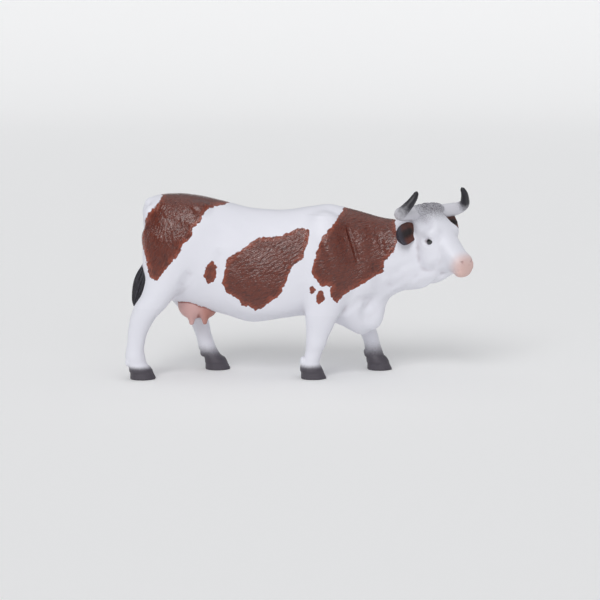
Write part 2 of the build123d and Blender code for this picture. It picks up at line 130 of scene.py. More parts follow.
def outline_fit(across, up, half_width, half_height, power):
    """Near distance to the outline |a|^p + |b|^p = 1, with a and b the offsets over their half sizes: the
    value is (rho - 1) / |grad rho|, where rho is the p-norm of a and b."""
    a = np.maximum(np.abs(across) / half_width, TINY)
    b = np.maximum(np.abs(up) / half_height, TINY)
    rho = (a**power + b**power) ** (1 / power)
    slope = np.sqrt((a ** (power - 1) / half_width) ** 2 + (b ** (power - 1) / half_height) ** 2)
    return np.clip((rho - 1) / (rho ** (1 - power) * slope), -FAR, FAR)


def egg_distance(across, up, half_width, rise, waist, low_power, high_power):
    """Distance to an egg outline: two such outlines that meet at the waist, a share of the rise, with a half
    height and a power of their own below and above it."""
    below = up < waist
    half_height = np.where(below, waist, 1 - waist) * rise
    power = np.where(below, low_power, high_power)
    return outline_fit(across, (up - waist) * rise, half_width, half_height, power)


def reach_along(x, y, z, origin, direction):
    """How far points lie from an origin along a direction."""
    return (x - origin[0]) * direction[0] + (y - origin[1]) * direction[1] + (z - origin[2]) * direction[2]


SWEEP_REACH = 20.0  # how far to the sides of a plane points are given a distance, mm
SWEEP_MARGIN_SHARE = 0.15  # and how far past its foot and crown, of its rise


def sweep(field, feet, crowns, lefts, shape):
    """Distance to an egg section carried along a run of planes. Plane k stands on its foot, its y axis
    reaches its crown and its x axis is its left. A point between two planes takes a section between
    theirs."""
    count = len(feet)
    ups = crowns - feet
    rises = np.linalg.norm(ups, axis=1)
    normals = np.cross(lefts, ups)
    normals /= np.linalg.norm(normals, axis=1)[:, None]
    for k in range(count - 1):
        corners = np.concatenate([
            base + side * SWEEP_REACH * lefts[j] + extra * ups[j] * SWEEP_MARGIN_SHARE
            for j in (k, k + 1) for base, extra in ((feet[j], -1), (crowns[j], 1)) for side in BOTH
        ]).reshape(-1, 3)
        spans, x, y, z = block(corners.min(0) - 0.1, corners.max(0) + 0.1)
        d0, d1 = (reach_along(x, y, z, feet[j], normals[j]) for j in (k, k + 1))
        inside = np.nonzero((d0 >= 0) & (d1 < 0))
        if not len(inside[0]):
            continue
        d0, d1 = d0[inside], d1[inside]
        t = (d0 / np.maximum(d0 - d1, NEAR_ZERO))[:, None]
        point = np.stack([x.ravel()[inside[0]], y.ravel()[inside[1]], z.ravel()[inside[2]]], axis=1)
        foot = feet[k] + t * (feet[k + 1] - feet[k])
        up = ups[k] + t * (ups[k + 1] - ups[k])
        left = lefts[k] + t * (lefts[k + 1] - lefts[k])
        rise = rises[k] + t[:, 0] * (rises[k + 1] - rises[k])
        width, waist, low_power, high_power = (shape[k] + t * (shape[k + 1] - shape[k])).T
        reach = point - foot
        height = (reach * up).sum(1) / rise**2
        across = (reach * left).sum(1)
        part = field[spans]
        value = egg_distance(across, height, width, rise, waist, low_power, high_power)
        part[inside] = np.minimum(part[inside], value.astype(np.float32))


def ball(field, centre, radii, k, cut=False, axes=None):
    """Joins, or cuts, an ellipsoid: its distance is (r - 1) / |grad r|, with r the scaled radius."""
    centre, radii = np.asarray(centre, float), np.asarray(radii, float)
    axes = np.eye(3) if axes is None else np.asarray(axes, float)
    reach = radii.max() + k + 1.0
    spans, x, y, z = block(centre - reach, centre + reach)
    dx, dy, dz = x - centre[0], y - centre[1], z - centre[2]
    local = [(dx * a[0] + dy * a[1] + dz * a[2]) / r for a, r in zip(axes, radii)]
    rho = np.sqrt(local[0] ** 2 + local[1] ** 2 + local[2] ** 2) + SLIVER
    grad = np.sqrt(sum((u / r) ** 2 for u, r in zip(local, radii))) / rho + SLIVER
    value = (rho - 1) / grad
    field[spans] = carve(field[spans], value, k) if cut else join(field[spans], value, k)


FADE_SHARE = 0.25  # of a groove's length, over which it fades out at each end


def groove(field, points, radius, depth):
    """Cuts a round-bottomed groove along a line of points that lies near the surface: the field rises by
    depth * (1 - (distance to the line / radius)^2)^2 inside the radius, and by less towards both ends."""
    points = np.asarray(points, float)
    legs = np.linalg.norm(np.diff(points, axis=0), axis=1)
    start, length = np.concatenate([[0], np.cumsum(legs)]), legs.sum()
    spans, x, y, z = block(points.min(0) - radius - 0.5, points.max(0) + radius + 0.5)
    cut = np.zeros(np.broadcast_shapes(x.shape, y.shape, z.shape), dtype=np.float32)
    for a, b, before, leg in zip(points[:-1], points[1:], start, legs):
        ab = b - a
        t = np.clip(((x - a[0]) * ab[0] + (y - a[1]) * ab[1] + (z - a[2]) * ab[2]) / (ab @ ab), 0, 1)
        gap = (x - a[0] - t * ab[0]) ** 2 + (y - a[1] - t * ab[1]) ** 2 + (z - a[2] - t * ab[2]) ** 2
        share = (before + t * leg) / length
        fade = smooth_step(0, FADE_SHARE, share) * smooth_step(0, FADE_SHARE, 1 - share)
        cut = np.maximum(cut, fade * np.clip(1 - gap / radius**2, 0, 1) ** 2)
    field[spans] += (depth * cut).astype(np.float32)


def side_points(field, spots, side):
    """Points of the surface straight to one side of (x, z) spots: the outermost place where the field changes
    sign along y, 0 where the line misses the body."""
    spots = np.asarray(spots, float)
    across = np.round((spots[:, 0] - GRID_LOW[0]) / CELL).astype(int)
    up = np.round((spots[:, 1] - GRID_LOW[2]) / CELL).astype(int)
    columns = field[across, :, up][:, ::side * -1] < 0
    at = grid_axes[1][::side * -1][columns.argmax(1)]
    return np.column_stack([spots[:, 0], np.where(columns.any(1), at, 0), spots[:, 1]])


# Folds of the skin on both sides: the line's (x, z) spots, half width and depth, below zero for a ridge

FOLDS = [
    ([(73.2, 57.9), (75.0, 53.0), (76.6, 48.0), (77.9, 43.0)], 1.2, 0.7),
    ([(70.6, 56.9), (72.4, 52.0), (74.0, 47.0), (75.3, 42.0)], 3.2, 0.5),
    ([(65.0, 54.3), (66.8, 49.4), (68.4, 44.4), (69.7, 39.4)], 3.8, -0.7),
    ([(77.6, 57.9), (79.4, 53.0), (81.0, 48.0)], 3.4, -0.5),
    ([(84.8, 55.0), (86.4, 50.5), (87.2, 46.0)], 1.8, 0.3),
    ([(16.4, 41.5), (14.2, 38.0), (11.6, 34.0)], 3.0, 0.45),
    ([(70.8, 23.2), (74.0, 26.2), (78.6, 29.4), (83.4, 31.6)], 2.8, 0.4),
    ([(79.6, 22.4), (83.0, 26.0), (86.2, 31.0)], 2.8, -0.4),
    ([(94.6, 41.5), (91.0, 38.0), (87.6, 33.4)], 2.4, 0.28),
    ([(98.0, 39.4), (94.4, 35.6), (91.4, 32.0)], 2.2, -0.3),
    ([(101.4, 40.0), (97.6, 36.4), (95.0, 33.6)], 2.0, 0.22),
    ([(27.4, 50.0), (26.0, 44.0), (25.2, 38.0)], 2.6, 0.35),
]


# Trunk and neck in one sweep. Each row: foot x, foot z, crown x, crown z, half width, waist share, power of
# the outline below and above the waist, share of the head's turn, and sway to the right.

HEAD_TURN = math.radians(46.0)
TRUNK_STEPS, HEAD_STEPS = 170, 120  # planes of the two sweeps
TRUNK_ROWS = np.array([
    (-0.4, 50.0, -0.4, 54.0, 0.4, 0.55, 2.0, 2.0, 0.0, 0.0),
    (0.3, 40.0, 0.3, 61.5, 4.2, 0.55, 2.1, 2.2, 0.0, 0.0),
    (1.6, 34.5, 1.6, 66.0, 8.0, 0.55, 2.1, 2.3, 0.0, 0.0),
    (4.5, 30.0, 4.5, 67.9, 10.8, 0.56, 2.1, 2.4, 0.0, 0.0),
    (10.0, 28.0, 10.0, 68.4, 12.8, 0.57, 2.1, 2.5, 0.0, 0.0),
    (18.0, 26.0, 18.0, 67.8, 13.9, 0.56, 2.15, 2.5, 0.0, 0.0),
    (28.0, 23.0, 28.0, 65.6, 14.3, 0.48, 2.3, 2.25, 0.0, 0.0),
    (38.4, 20.2, 38.4, 63.1, 14.6, 0.45, 2.35, 2.1, 0.0, 0.0),
    (50.0, 21.6, 50.0, 62.3, 14.4, 0.45, 2.3, 2.1, 0.0, 0.0),
    (60.0, 22.4, 60.0, 63.6, 13.9, 0.48, 2.2, 2.1, 0.0, 0.0),
    (71.0, 19.0, 64.0, 64.2, 13.2, 0.52, 1.9, 2.0, 0.0, 0.0),
    (80.0, 15.0, 67.0, 64.4, 12.2, 0.54, 1.75, 2.0, 0.0, 0.0),
    (86.2, 20.5, 68.7, 64.3, 11.4, 0.53, 1.75, 1.95, 0.02, 0.1),
    (89.5, 28.0, 71.0, 63.8, 10.7, 0.52, 1.8, 1.9, 0.05, 0.3),
    (92.2, 30.6, 78.0, 62.0, 9.4, 0.52, 1.85, 1.9, 0.12, 1.0),
    (95.5, 32.2, 86.0, 59.7, 8.4, 0.53, 1.9, 1.9, 0.30, 2.4),
    (99.5, 33.0, 92.5, 58.9, 7.4, 0.56, 1.8, 1.95, 0.55, 4.4),
    (104.0, 34.6, 98.0, 58.6, 5.9, 0.60, 1.7, 2.0, 0.80, 6.4),
    (107.2, 38.0, 101.5, 57.0, 4.4, 0.60, 1.8, 2.0, 0.95, 8.2),
    (109.6, 42.5, 104.6, 54.5, 3.0, 0.55, 2.0, 2.0, 1.0, 9.6),
    (111.0, 46.5, 106.8, 50.5, 0.6, 0.5, 2.0, 2.0, 1.0, 10.4),
])


def even_rows(table, steps):
    """Rows at even steps through a table."""
    return smooth_rows(np.arange(len(table)), table, np.linspace(0, len(table) - 1, steps))


def trunk_planes():
    """Feet, crowns, left directions and outline shapes of the trunk's and neck's planes."""
    rows = even_rows(TRUNK_ROWS, TRUNK_STEPS)
    turn = HEAD_TURN * rows[:, 8]
    forward = np.stack([np.cos(turn), -np.sin(turn)], axis=1)
    middle = (rows[:, 0] + rows[:, 2]) / 2

    def place(x, z):
        along = (x - middle)[:, None] * forward
        return np.stack([middle + along[:, 0], -rows[:, 9] + along[:, 1], z], axis=1)

    lefts = np.stack([np.sin(turn), np.cos(turn), np.zeros_like(turn)], axis=1)
    return place(rows[:, 0], rows[:, 1]), place(rows[:, 2], rows[:, 3]), lefts, rows[:, 4:8]


# The head, in its own frame: forward of the poll, left of its middle, and height above the table

POLL = np.array([105.8, -5.0])
FORWARD = np.array([math.cos(HEAD_TURN), -math.sin(HEAD_TURN)])
LEFT = np.array([math.sin(HEAD_TURN), math.cos(HEAD_TURN)])
HEAD_AXES = np.array([(*FORWARD, 0.0), (*LEFT, 0.0), (0.0, 0.0, 1.0)])
EYE_PLACE = np.array([4.3, 6.2, 51.7])
EYE_RADII = (1.45, 1.2, 1.35)


def head_point(forward, left, height):
    """Point of the head in the figure's frame."""
    flat = POLL + forward * FORWARD + left * LEFT
    return np.array([flat[0], flat[1], height])


HEAD_ROWS = np.array([  # foot forward, foot height, crown forward, crown height, half width, waist, powers
    (-7.2, 50.0, -7.0, 54.0, 0.5, 0.6, 2.0, 2.0),
    (-6.4, 46.0, -5.9, 60.0, 4.4, 0.64, 2.0, 2.4),
    (-4.8, 42.5, -5.0, 63.6, 7.5, 0.76, 2.3, 3.2),
    (-2.2, 40.6, -2.9, 64.8, 8.1, 0.78, 2.5, 3.4),
    (0.8, 39.6, 1.0, 62.8, 7.8, 0.66, 2.5, 2.4),
    (3.8, 39.2, 5.0, 59.3, 7.3, 0.66, 2.4, 2.4),
    (7.2, 39.5, 8.1, 55.2, 5.2, 0.64, 2.3, 2.4),
    (10.2, 40.0, 11.0, 51.7, 4.8, 0.60, 2.1, 2.4),
    (12.4, 39.9, 13.2, 49.3, 4.7, 0.56, 2.4, 2.4),
    (14.4, 39.5, 15.0, 47.7, 4.4, 0.56, 2.6, 2.5),
    (15.9, 39.6, 16.4, 46.7, 3.8, 0.55, 2.6, 2.5),
    (16.8, 40.4, 17.1, 45.6, 3.0, 0.54, 2.4, 2.4),
    (17.2, 42.2, 17.3, 43.8, 0.8, 0.5, 2.0, 2.0),
])


def head_planes():
    """Planes of the head's sweep, as for the trunk."""
    rows = even_rows(HEAD_ROWS, HEAD_STEPS)

    def place(forward, height):
        flat = POLL + forward[:, None] * FORWARD
        return np.column_stack([flat, height])

    lefts = np.tile(HEAD_AXES[1], (HEAD_STEPS, 1))
    return place(rows[:, 0], rows[:, 1]), place(rows[:, 2], rows[:, 3]), lefts, rows[:, 4:8]


# Legs as level sections. Each row: height, centre x, centre y, half depth fore and aft, half breadth, power

HINDLEG_RIGHT = np.array([
    (61.0, 9.2, 4.6, 4.6, 2.4, 2.0), (55.0, 8.3, 6.8, 10.0, 5.4, 2.0), (48.0, 8.2, 7.9, 10.1, 6.3, 2.0),
    (42.0, 7.7, 8.5, 9.5, 6.2, 2.0), (37.0, 6.9, 9.0, 7.9, 5.8, 2.0), (32.0, 4.3, 9.5, 6.5, 5.1, 2.0),
    (27.0, 0.7, 9.9, 6.0, 4.4, 2.1), (23.0, -1.9, 10.0, 4.8, 3.9, 2.2), (19.0, -3.5, 10.0, 3.9, 3.4, 2.2),
    (14.0, -4.6, 10.0, 3.3, 2.9, 2.2), (10.5, -5.1, 10.0, 3.4, 3.1, 2.2), (8.0, -5.0, 10.0, 3.7, 3.5, 2.1),
    (6.0, -4.4, 10.0, 3.6, 3.5, 2.1), (4.2, -3.5, 10.0, 3.9, 3.8, 2.1), (3.2, -3.0, 10.0, 4.2, 4.0, 2.1),
])
HINDLEG_LEFT = np.array([
    (61.0, 9.5, 5.6, 4.0, 3.5, 2.0), (55.0, 9.0, 7.0, 8.4, 5.6, 2.0), (48.0, 9.0, 7.9, 9.8, 6.3, 2.0),
    (42.0, 9.6, 8.5, 9.6, 6.2, 2.0), (37.0, 10.4, 9.0, 8.8, 5.8, 2.0), (32.0, 11.6, 9.5, 7.6, 5.1, 2.0),
    (27.0, 13.4, 9.9, 6.2, 4.4, 2.1), (23.0, 15.4, 10.0, 4.7, 3.9, 2.2), (19.0, 17.6, 10.0, 3.7, 3.4, 2.2),
    (14.0, 19.2, 10.0, 3.1, 2.9, 2.2), (10.5, 20.2, 10.0, 3.2, 3.1, 2.2), (8.0, 21.0, 10.0, 3.4, 3.4, 2.1),
    (6.0, 22.2, 10.0, 3.4, 3.4, 2.1), (4.2, 23.5, 10.0, 3.7, 3.7, 2.1), (3.2, 24.0, 10.0, 4.0, 3.9, 2.1),
])
FORELEG_RIGHT = np.array([
    (60.0, 64.5, 5.0, 3.0, 3.2, 2.0), (55.0, 65.5, 6.4, 5.6, 5.2, 2.0), (48.0, 67.0, 7.4, 7.8, 6.1, 2.0),
    (41.0, 67.6, 8.1, 8.9, 6.1, 2.0), (34.0, 66.8, 8.7, 8.9, 5.7, 2.0), (28.5, 65.6, 9.0, 7.6, 5.0, 2.0),
    (24.0, 64.6, 9.2, 6.3, 4.4, 2.1), (20.0, 63.8, 9.2, 5.2, 3.9, 2.1), (16.0, 62.9, 9.2, 4.2, 3.5, 2.2),
    (12.5, 62.2, 9.2, 3.7, 3.4, 2.2), (10.0, 61.5, 9.2, 3.2, 3.0, 2.2), (7.5, 60.7, 9.2, 3.2, 3.2, 2.1),
    (6.0, 60.3, 9.2, 3.3, 3.3, 2.1), (4.2, 60.4, 9.2, 3.8, 3.7, 2.1), (3.2, 60.7, 9.2, 4.1, 3.9, 2.1),
])
FORELEG_LEFT = np.array([
    (60.0, 65.5, 5.0, 3.0, 3.2, 2.0), (55.0, 67.0, 6.4, 5.6, 5.2, 2.0), (48.0, 69.0, 7.4, 7.8, 6.1, 2.0),
    (41.0, 72.0, 8.1, 8.5, 6.1, 2.0), (34.0, 75.4, 8.7, 7.8, 5.7, 2.0), (28.5, 77.7, 9.0, 6.6, 5.0, 2.0),
    (24.0, 79.3, 9.2, 5.4, 4.4, 2.1), (20.0, 80.6, 9.2, 4.5, 3.9, 2.1), (16.0, 82.0, 9.2, 3.5, 3.4, 2.2),
    (12.5, 83.3, 9.2, 3.2, 3.2, 2.2), (10.0, 84.0, 9.2, 3.1, 3.0, 2.2), (7.5, 84.6, 9.2, 3.3, 3.2, 2.1),
    (6.0, 85.0, 9.2, 3.4, 3.3, 2.1), (4.2, 85.8, 9.2, 3.8, 3.7, 2.1), (3.2, 86.2, 9.2, 4.1, 3.9, 2.1),
])
LEGS = {  # side, height of the seam with the trunk, and rows
    "hindleg_right": (-1, 27.0, HINDLEG_RIGHT),
    "hindleg_left": (1, 27.0, HINDLEG_LEFT),
    "foreleg_right": (-1, 24.0, FORELEG_RIGHT),
    "foreleg_left": (1, 24.0, FORELEG_LEFT),
}
LEG_MARGINS = 4.0, 6.0  # room behind and ahead of a leg's sections
LEG_INNER, LEG_OUTER, LEG_SPAN = -0.5, 16.0, (-1.0, 61.0)  # room from the middle plane outwards, and up
SHANK_END = 3.0  # height at which the sections end inside the hoof
HOOF_HEIGHT, HOOF_POWER = 5.2, 2.2
HOOF_RIM, HOOF_FLARE = (3.6, 3.5), (1.3, 0.6)  # half depth and breadth at the rim, and their growth below
HOOF_SET, HOOF_SLANT = -0.3, 1.2  # the hoof's middle ahead of the shank's at the rim, and more at the sole
HOOF_SIZE = 3.8  # makes a distance in mm of the scaled radius
TOE_NARROWING = 0.2
SOLE_SHARE = 1.2  # how far the growth goes on below the sole
CLEFT_HALF, CLEFT_SPREAD, CLEFT_BACK, CLEFT_TOP = 0.12, 0.55, 0.6, 0.6
RIM_DROP, RIM_ROUNDING, CLEFT_ROUNDING, HOOF_ROUNDING, CLAW_ROUNDING = 0.4, 0.8, 0.4, 0.9, 0.5
DEWCLAW_PLACE, DEWCLAW_RADII = (0.45, 1.6, 0.5), (1.1, 0.95, 1.5)


def leg_distance(name):
    """Slices and distance of one leg: level superellipses whose centre and sizes follow the table's curves, a
    hoof that widens to its sole and is cleft from the toe, and two dewclaws behind."""
    side, _, rows = LEGS[name]
    rows = rows[::-1]
    inner, outer = sorted((side * LEG_INNER, side * LEG_OUTER))
    spans, x, y, z = block(((rows[:, 1] - rows[:, 3]).min() - LEG_MARGINS[0], inner, LEG_SPAN[0]),
                           ((rows[:, 1] + rows[:, 3]).max() + LEG_MARGINS[1], outer, LEG_SPAN[1]))
    at = smooth_rows(rows[:, 0], rows[:, 1:], np.clip(z.ravel(), rows[0, 0], rows[-1, 0])).astype(np.float32)
    middle_x, middle_y, depth, breadth, power = (at[:, i][None, None, :] for i in range(5))
    shank = outline_fit(x - middle_x, y - side * middle_y, depth, breadth, power)
    shank = np.maximum(shank, np.where(z < SHANK_END, SHANK_END - z, z - rows[-1, 0]))
    rim_x, rim_y = rows[0, 1], side * rows[0, 2]
    share = np.clip((HOOF_HEIGHT - z) / HOOF_HEIGHT, 0, SOLE_SHARE)
    hoof_x = rim_x + HOOF_SET + HOOF_SLANT * share
    hoof_depth, hoof_breadth = (rim + flare * share for rim, flare in zip(HOOF_RIM, HOOF_FLARE))
    toe = np.clip((x - hoof_x) / hoof_depth, 0, 1)
    a = np.abs(x - hoof_x) / hoof_depth
    b = np.abs(y - rim_y) / (hoof_breadth * (1 - TOE_NARROWING * toe**2))
    hoof = ((a**HOOF_POWER + b**HOOF_POWER) ** (1 / HOOF_POWER) - 1) * HOOF_SIZE
    hoof = carve(np.maximum(hoof, -z), HOOF_HEIGHT - RIM_DROP - z, RIM_ROUNDING)
    cleft = np.maximum(np.abs(y - rim_y) - CLEFT_HALF - CLEFT_SPREAD * toe, hoof_x - CLEFT_BACK - x)
    hoof = carve(hoof, np.maximum(cleft, z - HOOF_HEIGHT + CLEFT_TOP), CLEFT_ROUNDING)
    leg = join(shank, hoof, HOOF_ROUNDING)
    fetlock = rows[2]
    for way in BOTH:
        dx = (x - (fetlock[1] - fetlock[3] + DEWCLAW_PLACE[0])) / DEWCLAW_RADII[0]
        dy = (y - rim_y - way * DEWCLAW_PLACE[1]) / DEWCLAW_RADII[1]
        dz = (z - fetlock[0] - DEWCLAW_PLACE[2]) / DEWCLAW_RADII[2]
        leg = join(leg, np.sqrt(dx * dx + dy * dy + dz * dz) - 1, CLAW_ROUNDING)
    return spans, leg.astype(np.float32)


# Labels of the grid's points: the piece each one belongs to

PIECES = ["trunk_right_half", "trunk_left_half", "head_and_neck", *LEGS, "udder"]
JOINT_FOOT, JOINT_CROWN = np.array([89.53, 28.0]), np.array([70.0, 64.0])  # x and z of the neck's joint
NECK_START = 66.0  # x, behind which nothing is neck


def past_neck_joint(x, z):
    """Distance ahead of the neck's joint plane."""
    up = JOINT_CROWN - JOINT_FOOT
    normal = np.array([up[1], -up[0]]) / np.linalg.norm(up)
    return (x - JOINT_FOOT[0]) * normal[0] + (z - JOINT_FOOT[1]) * normal[1]


# Ellipsoids of bone and flesh. Each row: place, radii, rounding of the join, whether it is cut, and own axes

BLADE_AXES = [(0.94, 0, 0.34), (0, 1, 0), (-0.34, 0, 0.94)]
TRUNK_PAIRS = [
    ((19.5, 9.0, 63.6), (3.2, 2.6, 2.2), 3.0),  # hip bone
    ((0.9, 4.8, 60.4), (2.4, 2.4, 4.0), 2.6),  # pin bone
    ((27.0, 16.4, 55.5), (6.0, 2.6, 5.0), 3.0, True),  # hollow of the flank
    ((45.0, 9.3, 36.0), (15.0, 5.0, 11.5), 4.0),  # barrel
    ((67.5, 8.4, 52.0), (6.5, 4.4, 10.0), 4.0, False, BLADE_AXES),  # shoulder blade
    ((79.5, 8.0, 38.0), (4.2, 3.6, 6.0), 3.5),  # point of the shoulder
    ((84.0, 8.2, 24.5), (4.4, 3.0, 6.0), 2.6, True),  # hollow beside the brisket
    ((84.0, 2.2, 23.5), (3.6, 3.0, 6.0), 2.6),  # brisket
]
TRUNK_SINGLES = [
    ((2.0, 0.0, 64.4), (3.6, 2.6, 2.6), 2.5),  # head of the tail
    ((0.9, 0.0, 60.5), (1.6, 2.2, 5.0), 2.5),  # ridge under the tail
    ((0.9, 0.0, 52.0), (1.2, 2.0, 7.0), 2.5),
]
HEAD_PAIRS = [  # places in the head's frame
    ((0.6, 5.0, 46.4), (5.6, 3.4, 6.4), 2.4, False),  # cheek
    ((4.6, 5.5, 55.0), (2.6, 2.3, 2.2), 2.4, False),  # brow
    ((-2.8, 6.0, 61.5), (2.6, 3.0, 2.6), 1.8, False),  # root of the horn
    ((2.4, 8.2, 59.8), (3.8, 3.6, 3.2), 2.2, True),  # temple
    ((14.6, 2.2, 44.4), (1.9, 2.2, 2.2), 1.2, False),  # upper lip
    (EYE_PLACE + (0, 1.5, 0), (1.8, 0.9, 1.4), 1.3, True),  # eye socket
    (EYE_PLACE, EYE_RADII, 0.15, False),
    ((16.8, 2.4, 44.8), (0.5, 0.6, 0.4), 0.5, True),  # nostril
    ((16.2, 3.0, 45.1), (0.4, 0.4, 0.3), 0.5, True),
]
CHIN = (14.6, 0, 40.4), (2.3, 2.8, 1.4), 0.8
THROAT = (1.5, 0, 40.2), (8.6, 3.0, 4.3), 2.2  # slack skin, hung between the jaws
THROAT_LEVEL, THROAT_RISE = 0.927, 0.375  # forward and upward parts of its slope to the chin
LIP = np.array([(11.0, 5.0, 42.2), (13.0, 4.9, 41.6), (15.0, 4.4, 41.5), (16.4, 3.0, 41.7), (17.1, 0, 41.8)])
LIP_RADIUS, LIP_DEPTH = 0.7, 0.3
UDDER_BAG = [((16.0, 0.0, 26.6), (5.7, 5.3, 5.5), 0.6), ((20.6, 0.0, 26.2), (4.7, 5.1, 5.0), 0.8)]
TEATS, TEAT_ASIDE = ((15.6, 19.0), (20.6, 19.2)), 2.3  # x and lowest height of each pair, and y
TEAT_RADIUS, TEAT_SWELL, TEAT_HEIGHTS, TEAT_ROUNDING = 0.9, 0.8, (19.8, 23.4), 1.2
TEAT_ROOM, TEAT_SPAN = 4, (13, 26)  # room beside each teat, and heights
TUFT_MIDDLE, TUFT_RADII, TUFT_EDGE, TUFT_HEIGHTS = -1.2, (5.5, 9.0), 1.2, (59.5, 63.0)  # hair on the poll
TUFT_LOW, TUFT_HIGH, TUFT_ROOM = (-6, -9, 58), (4, 9, 66), 6
TUFT_LIFT, CURL_HEIGHT = 0.1, 0.3
CURLS = [(1.0, 2.0, 3), (0.7, 1.2, 4)]  # weight, size and seed
LEG_ROUNDING, THIGH_ROUNDING, THIGH_HEIGHTS = 1.6, 2.2, (26, 42)  # of the joins with the trunk
JAW_CREASE, JAW_SIDES, JAW_HEIGHTS = 0.55, (-3.0, 4.0), (48.0, 54.0)
JAW_ROUNDING, NAPE_ROUNDING, UDDER_ROUNDING = 1.1, 3.0, 0.5
SLACK_X, SLACK_LOW, SLACK_HIGH = (84, 92), (26, 32), (40, 52)  # where the throat's skin hangs in waves
SLACK_HEIGHT, SLACK_PACE, SLACK_SLANT = 0.16, 1.15, 0.55
MASTER_HEIGHT, MASTER_SIZE, MASTER_SEED = 0.06, 7.0, 8  # faint unevenness of the sculpted master
FLAT_SOLE = 3.0  # height below which it is left off


def beside(x, y):
    """How far points lie to the left of the head's middle plane."""
    return (x - POLL[0]) * LEFT[0] + (y - POLL[1]) * LEFT[1]


def trunk_field():
    """Distance field of trunk and neck."""
    trunk = new_field()
    sweep(trunk, *trunk_planes())
    for side in BOTH:
        for place, *form in TRUNK_PAIRS:
            ball(trunk, np.multiply(place, (1, side, 1)), *form)
    for form in TRUNK_SINGLES:
        ball(trunk, *form)
    return trunk


def head_field():
    """Distance field of the head: its sweep and forms, a groove for the mouth, and curls on the poll."""
    head = new_field()
    sweep(head, *head_planes())
    for side in BOTH:
        for place, *form in HEAD_PAIRS:
            ball(head, head_point(*np.multiply(place, (1, side, 1))), *form, HEAD_AXES)
    ball(head, head_point(*CHIN[0]), *CHIN[1:], False, HEAD_AXES)
    mouth = np.concatenate([LIP, LIP[-2::-1] * (1, -1, 1)])
    groove(head, [head_point(*spot) for spot in mouth], LIP_RADIUS, LIP_DEPTH)
    spans, x, y, z = block(head_point(*TUFT_LOW) - TUFT_ROOM, head_point(*TUFT_HIGH) + TUFT_ROOM)
    ahead = (x - POLL[0]) * FORWARD[0] + (y - POLL[1]) * FORWARD[1]
    gap = np.hypot((ahead - TUFT_MIDDLE) / TUFT_RADII[0], beside(x, y) / TUFT_RADII[1])
    tuft = np.clip(TUFT_EDGE - gap, 0, 1) * smooth_step(*TUFT_HEIGHTS, z)
    curls = sum(weight * wave_noise(x, y, z, size, seed) for weight, size, seed in CURLS)
    head[spans] -= (tuft * (TUFT_LIFT + CURL_HEIGHT * curls)).astype(np.float32)
    return head


def udder_field():
    """Distance field of the udder: two joined balls, and teats that are round bars, domed below and wider
    above."""
    udder = new_field()
    for form in UDDER_BAG:
        ball(udder, *form)
    for side in BOTH:
        for along, drop in TEATS:
            aside = side * TEAT_ASIDE
            low = along - TEAT_ROOM, aside - TEAT_ROOM, TEAT_SPAN[0]
            spans, x, y, z = block(low, (along + TEAT_ROOM, aside + TEAT_ROOM, TEAT_SPAN[1]))
            ring = np.sqrt((x - along) ** 2 + (y - aside) ** 2)
            radius = TEAT_RADIUS + TEAT_SWELL * smooth_step(*TEAT_HEIGHTS, z)
            teat = np.sqrt(ring**2 + np.minimum(z - drop - TEAT_RADIUS, 0) ** 2) - radius
            udder[spans] = join(udder[spans], teat, TEAT_ROUNDING)
    return udder


def sculpt():
    """Distance field of the whole body and the label of every point inside it."""
    trunk = trunk_field()
    body = trunk.copy()
    leg_share = {}
    for name, (_, seam_height, _) in LEGS.items():
        spans, leg = leg_distance(name)
        z = grid_axes[2][spans[2]]
        leg_share[name] = (spans, (leg < trunk[spans]) & (z < seam_height))
        rounding = (LEG_ROUNDING + THIGH_ROUNDING * smooth_step(*THIGH_HEIGHTS, z)).astype(np.float32)
        body[spans] = join(body[spans], leg, rounding)
    for side in BOTH:
        for spots, radius, depth in FOLDS:
            groove(body, side_points(body, spots, side), radius, depth)
    ahead, left, up = HEAD_AXES
    hang = [THROAT_LEVEL * ahead + THROAT_RISE * up, left, THROAT_LEVEL * up - THROAT_RISE * ahead]
    ball(body, head_point(*THROAT[0]), *THROAT[1:], False, hang)
    # on the side that the head turns to, the jaw stands clear of the neck along a crease; on the other, the
    # neck runs smoothly into the skull
    head = head_field()
    x, y, z = grid_axes[0][:, None, None], grid_axes[1][None, :, None], grid_axes[2][None, None, :]
    outer = smooth_step(*JAW_SIDES, beside(x, y)).astype(np.float32)
    seam = np.exp(-((head - body) ** 2)) * (1 - smooth_step(*JAW_HEIGHTS, z)) * (1 - outer)
    body = join(body, head, JAW_ROUNDING + NAPE_ROUNDING * outer) + (JAW_CREASE * seam).astype(np.float32)
    udder = udder_field()
    bag = udder < body
    body = join(body, udder, UDDER_ROUNDING)
    # slack skin: long soft waves along the throat
    spans, x, y, z = block((*GRID_LOW[:2], FLAT_SOLE), GRID_HIGH)
    throat = smooth_step(*SLACK_X, x) * (1 - smooth_step(*SLACK_HIGH, z)) * smooth_step(*SLACK_LOW, z)
    waves = throat * SLACK_HEIGHT * np.sin(SLACK_PACE * (z - SLACK_SLANT * x))
    waves = waves + MASTER_HEIGHT * wave_noise(x, y, z, MASTER_SIZE, MASTER_SEED)
    body[spans] += waves.astype(np.float32)
    return body, piece_labels(body, leg_share, bag)


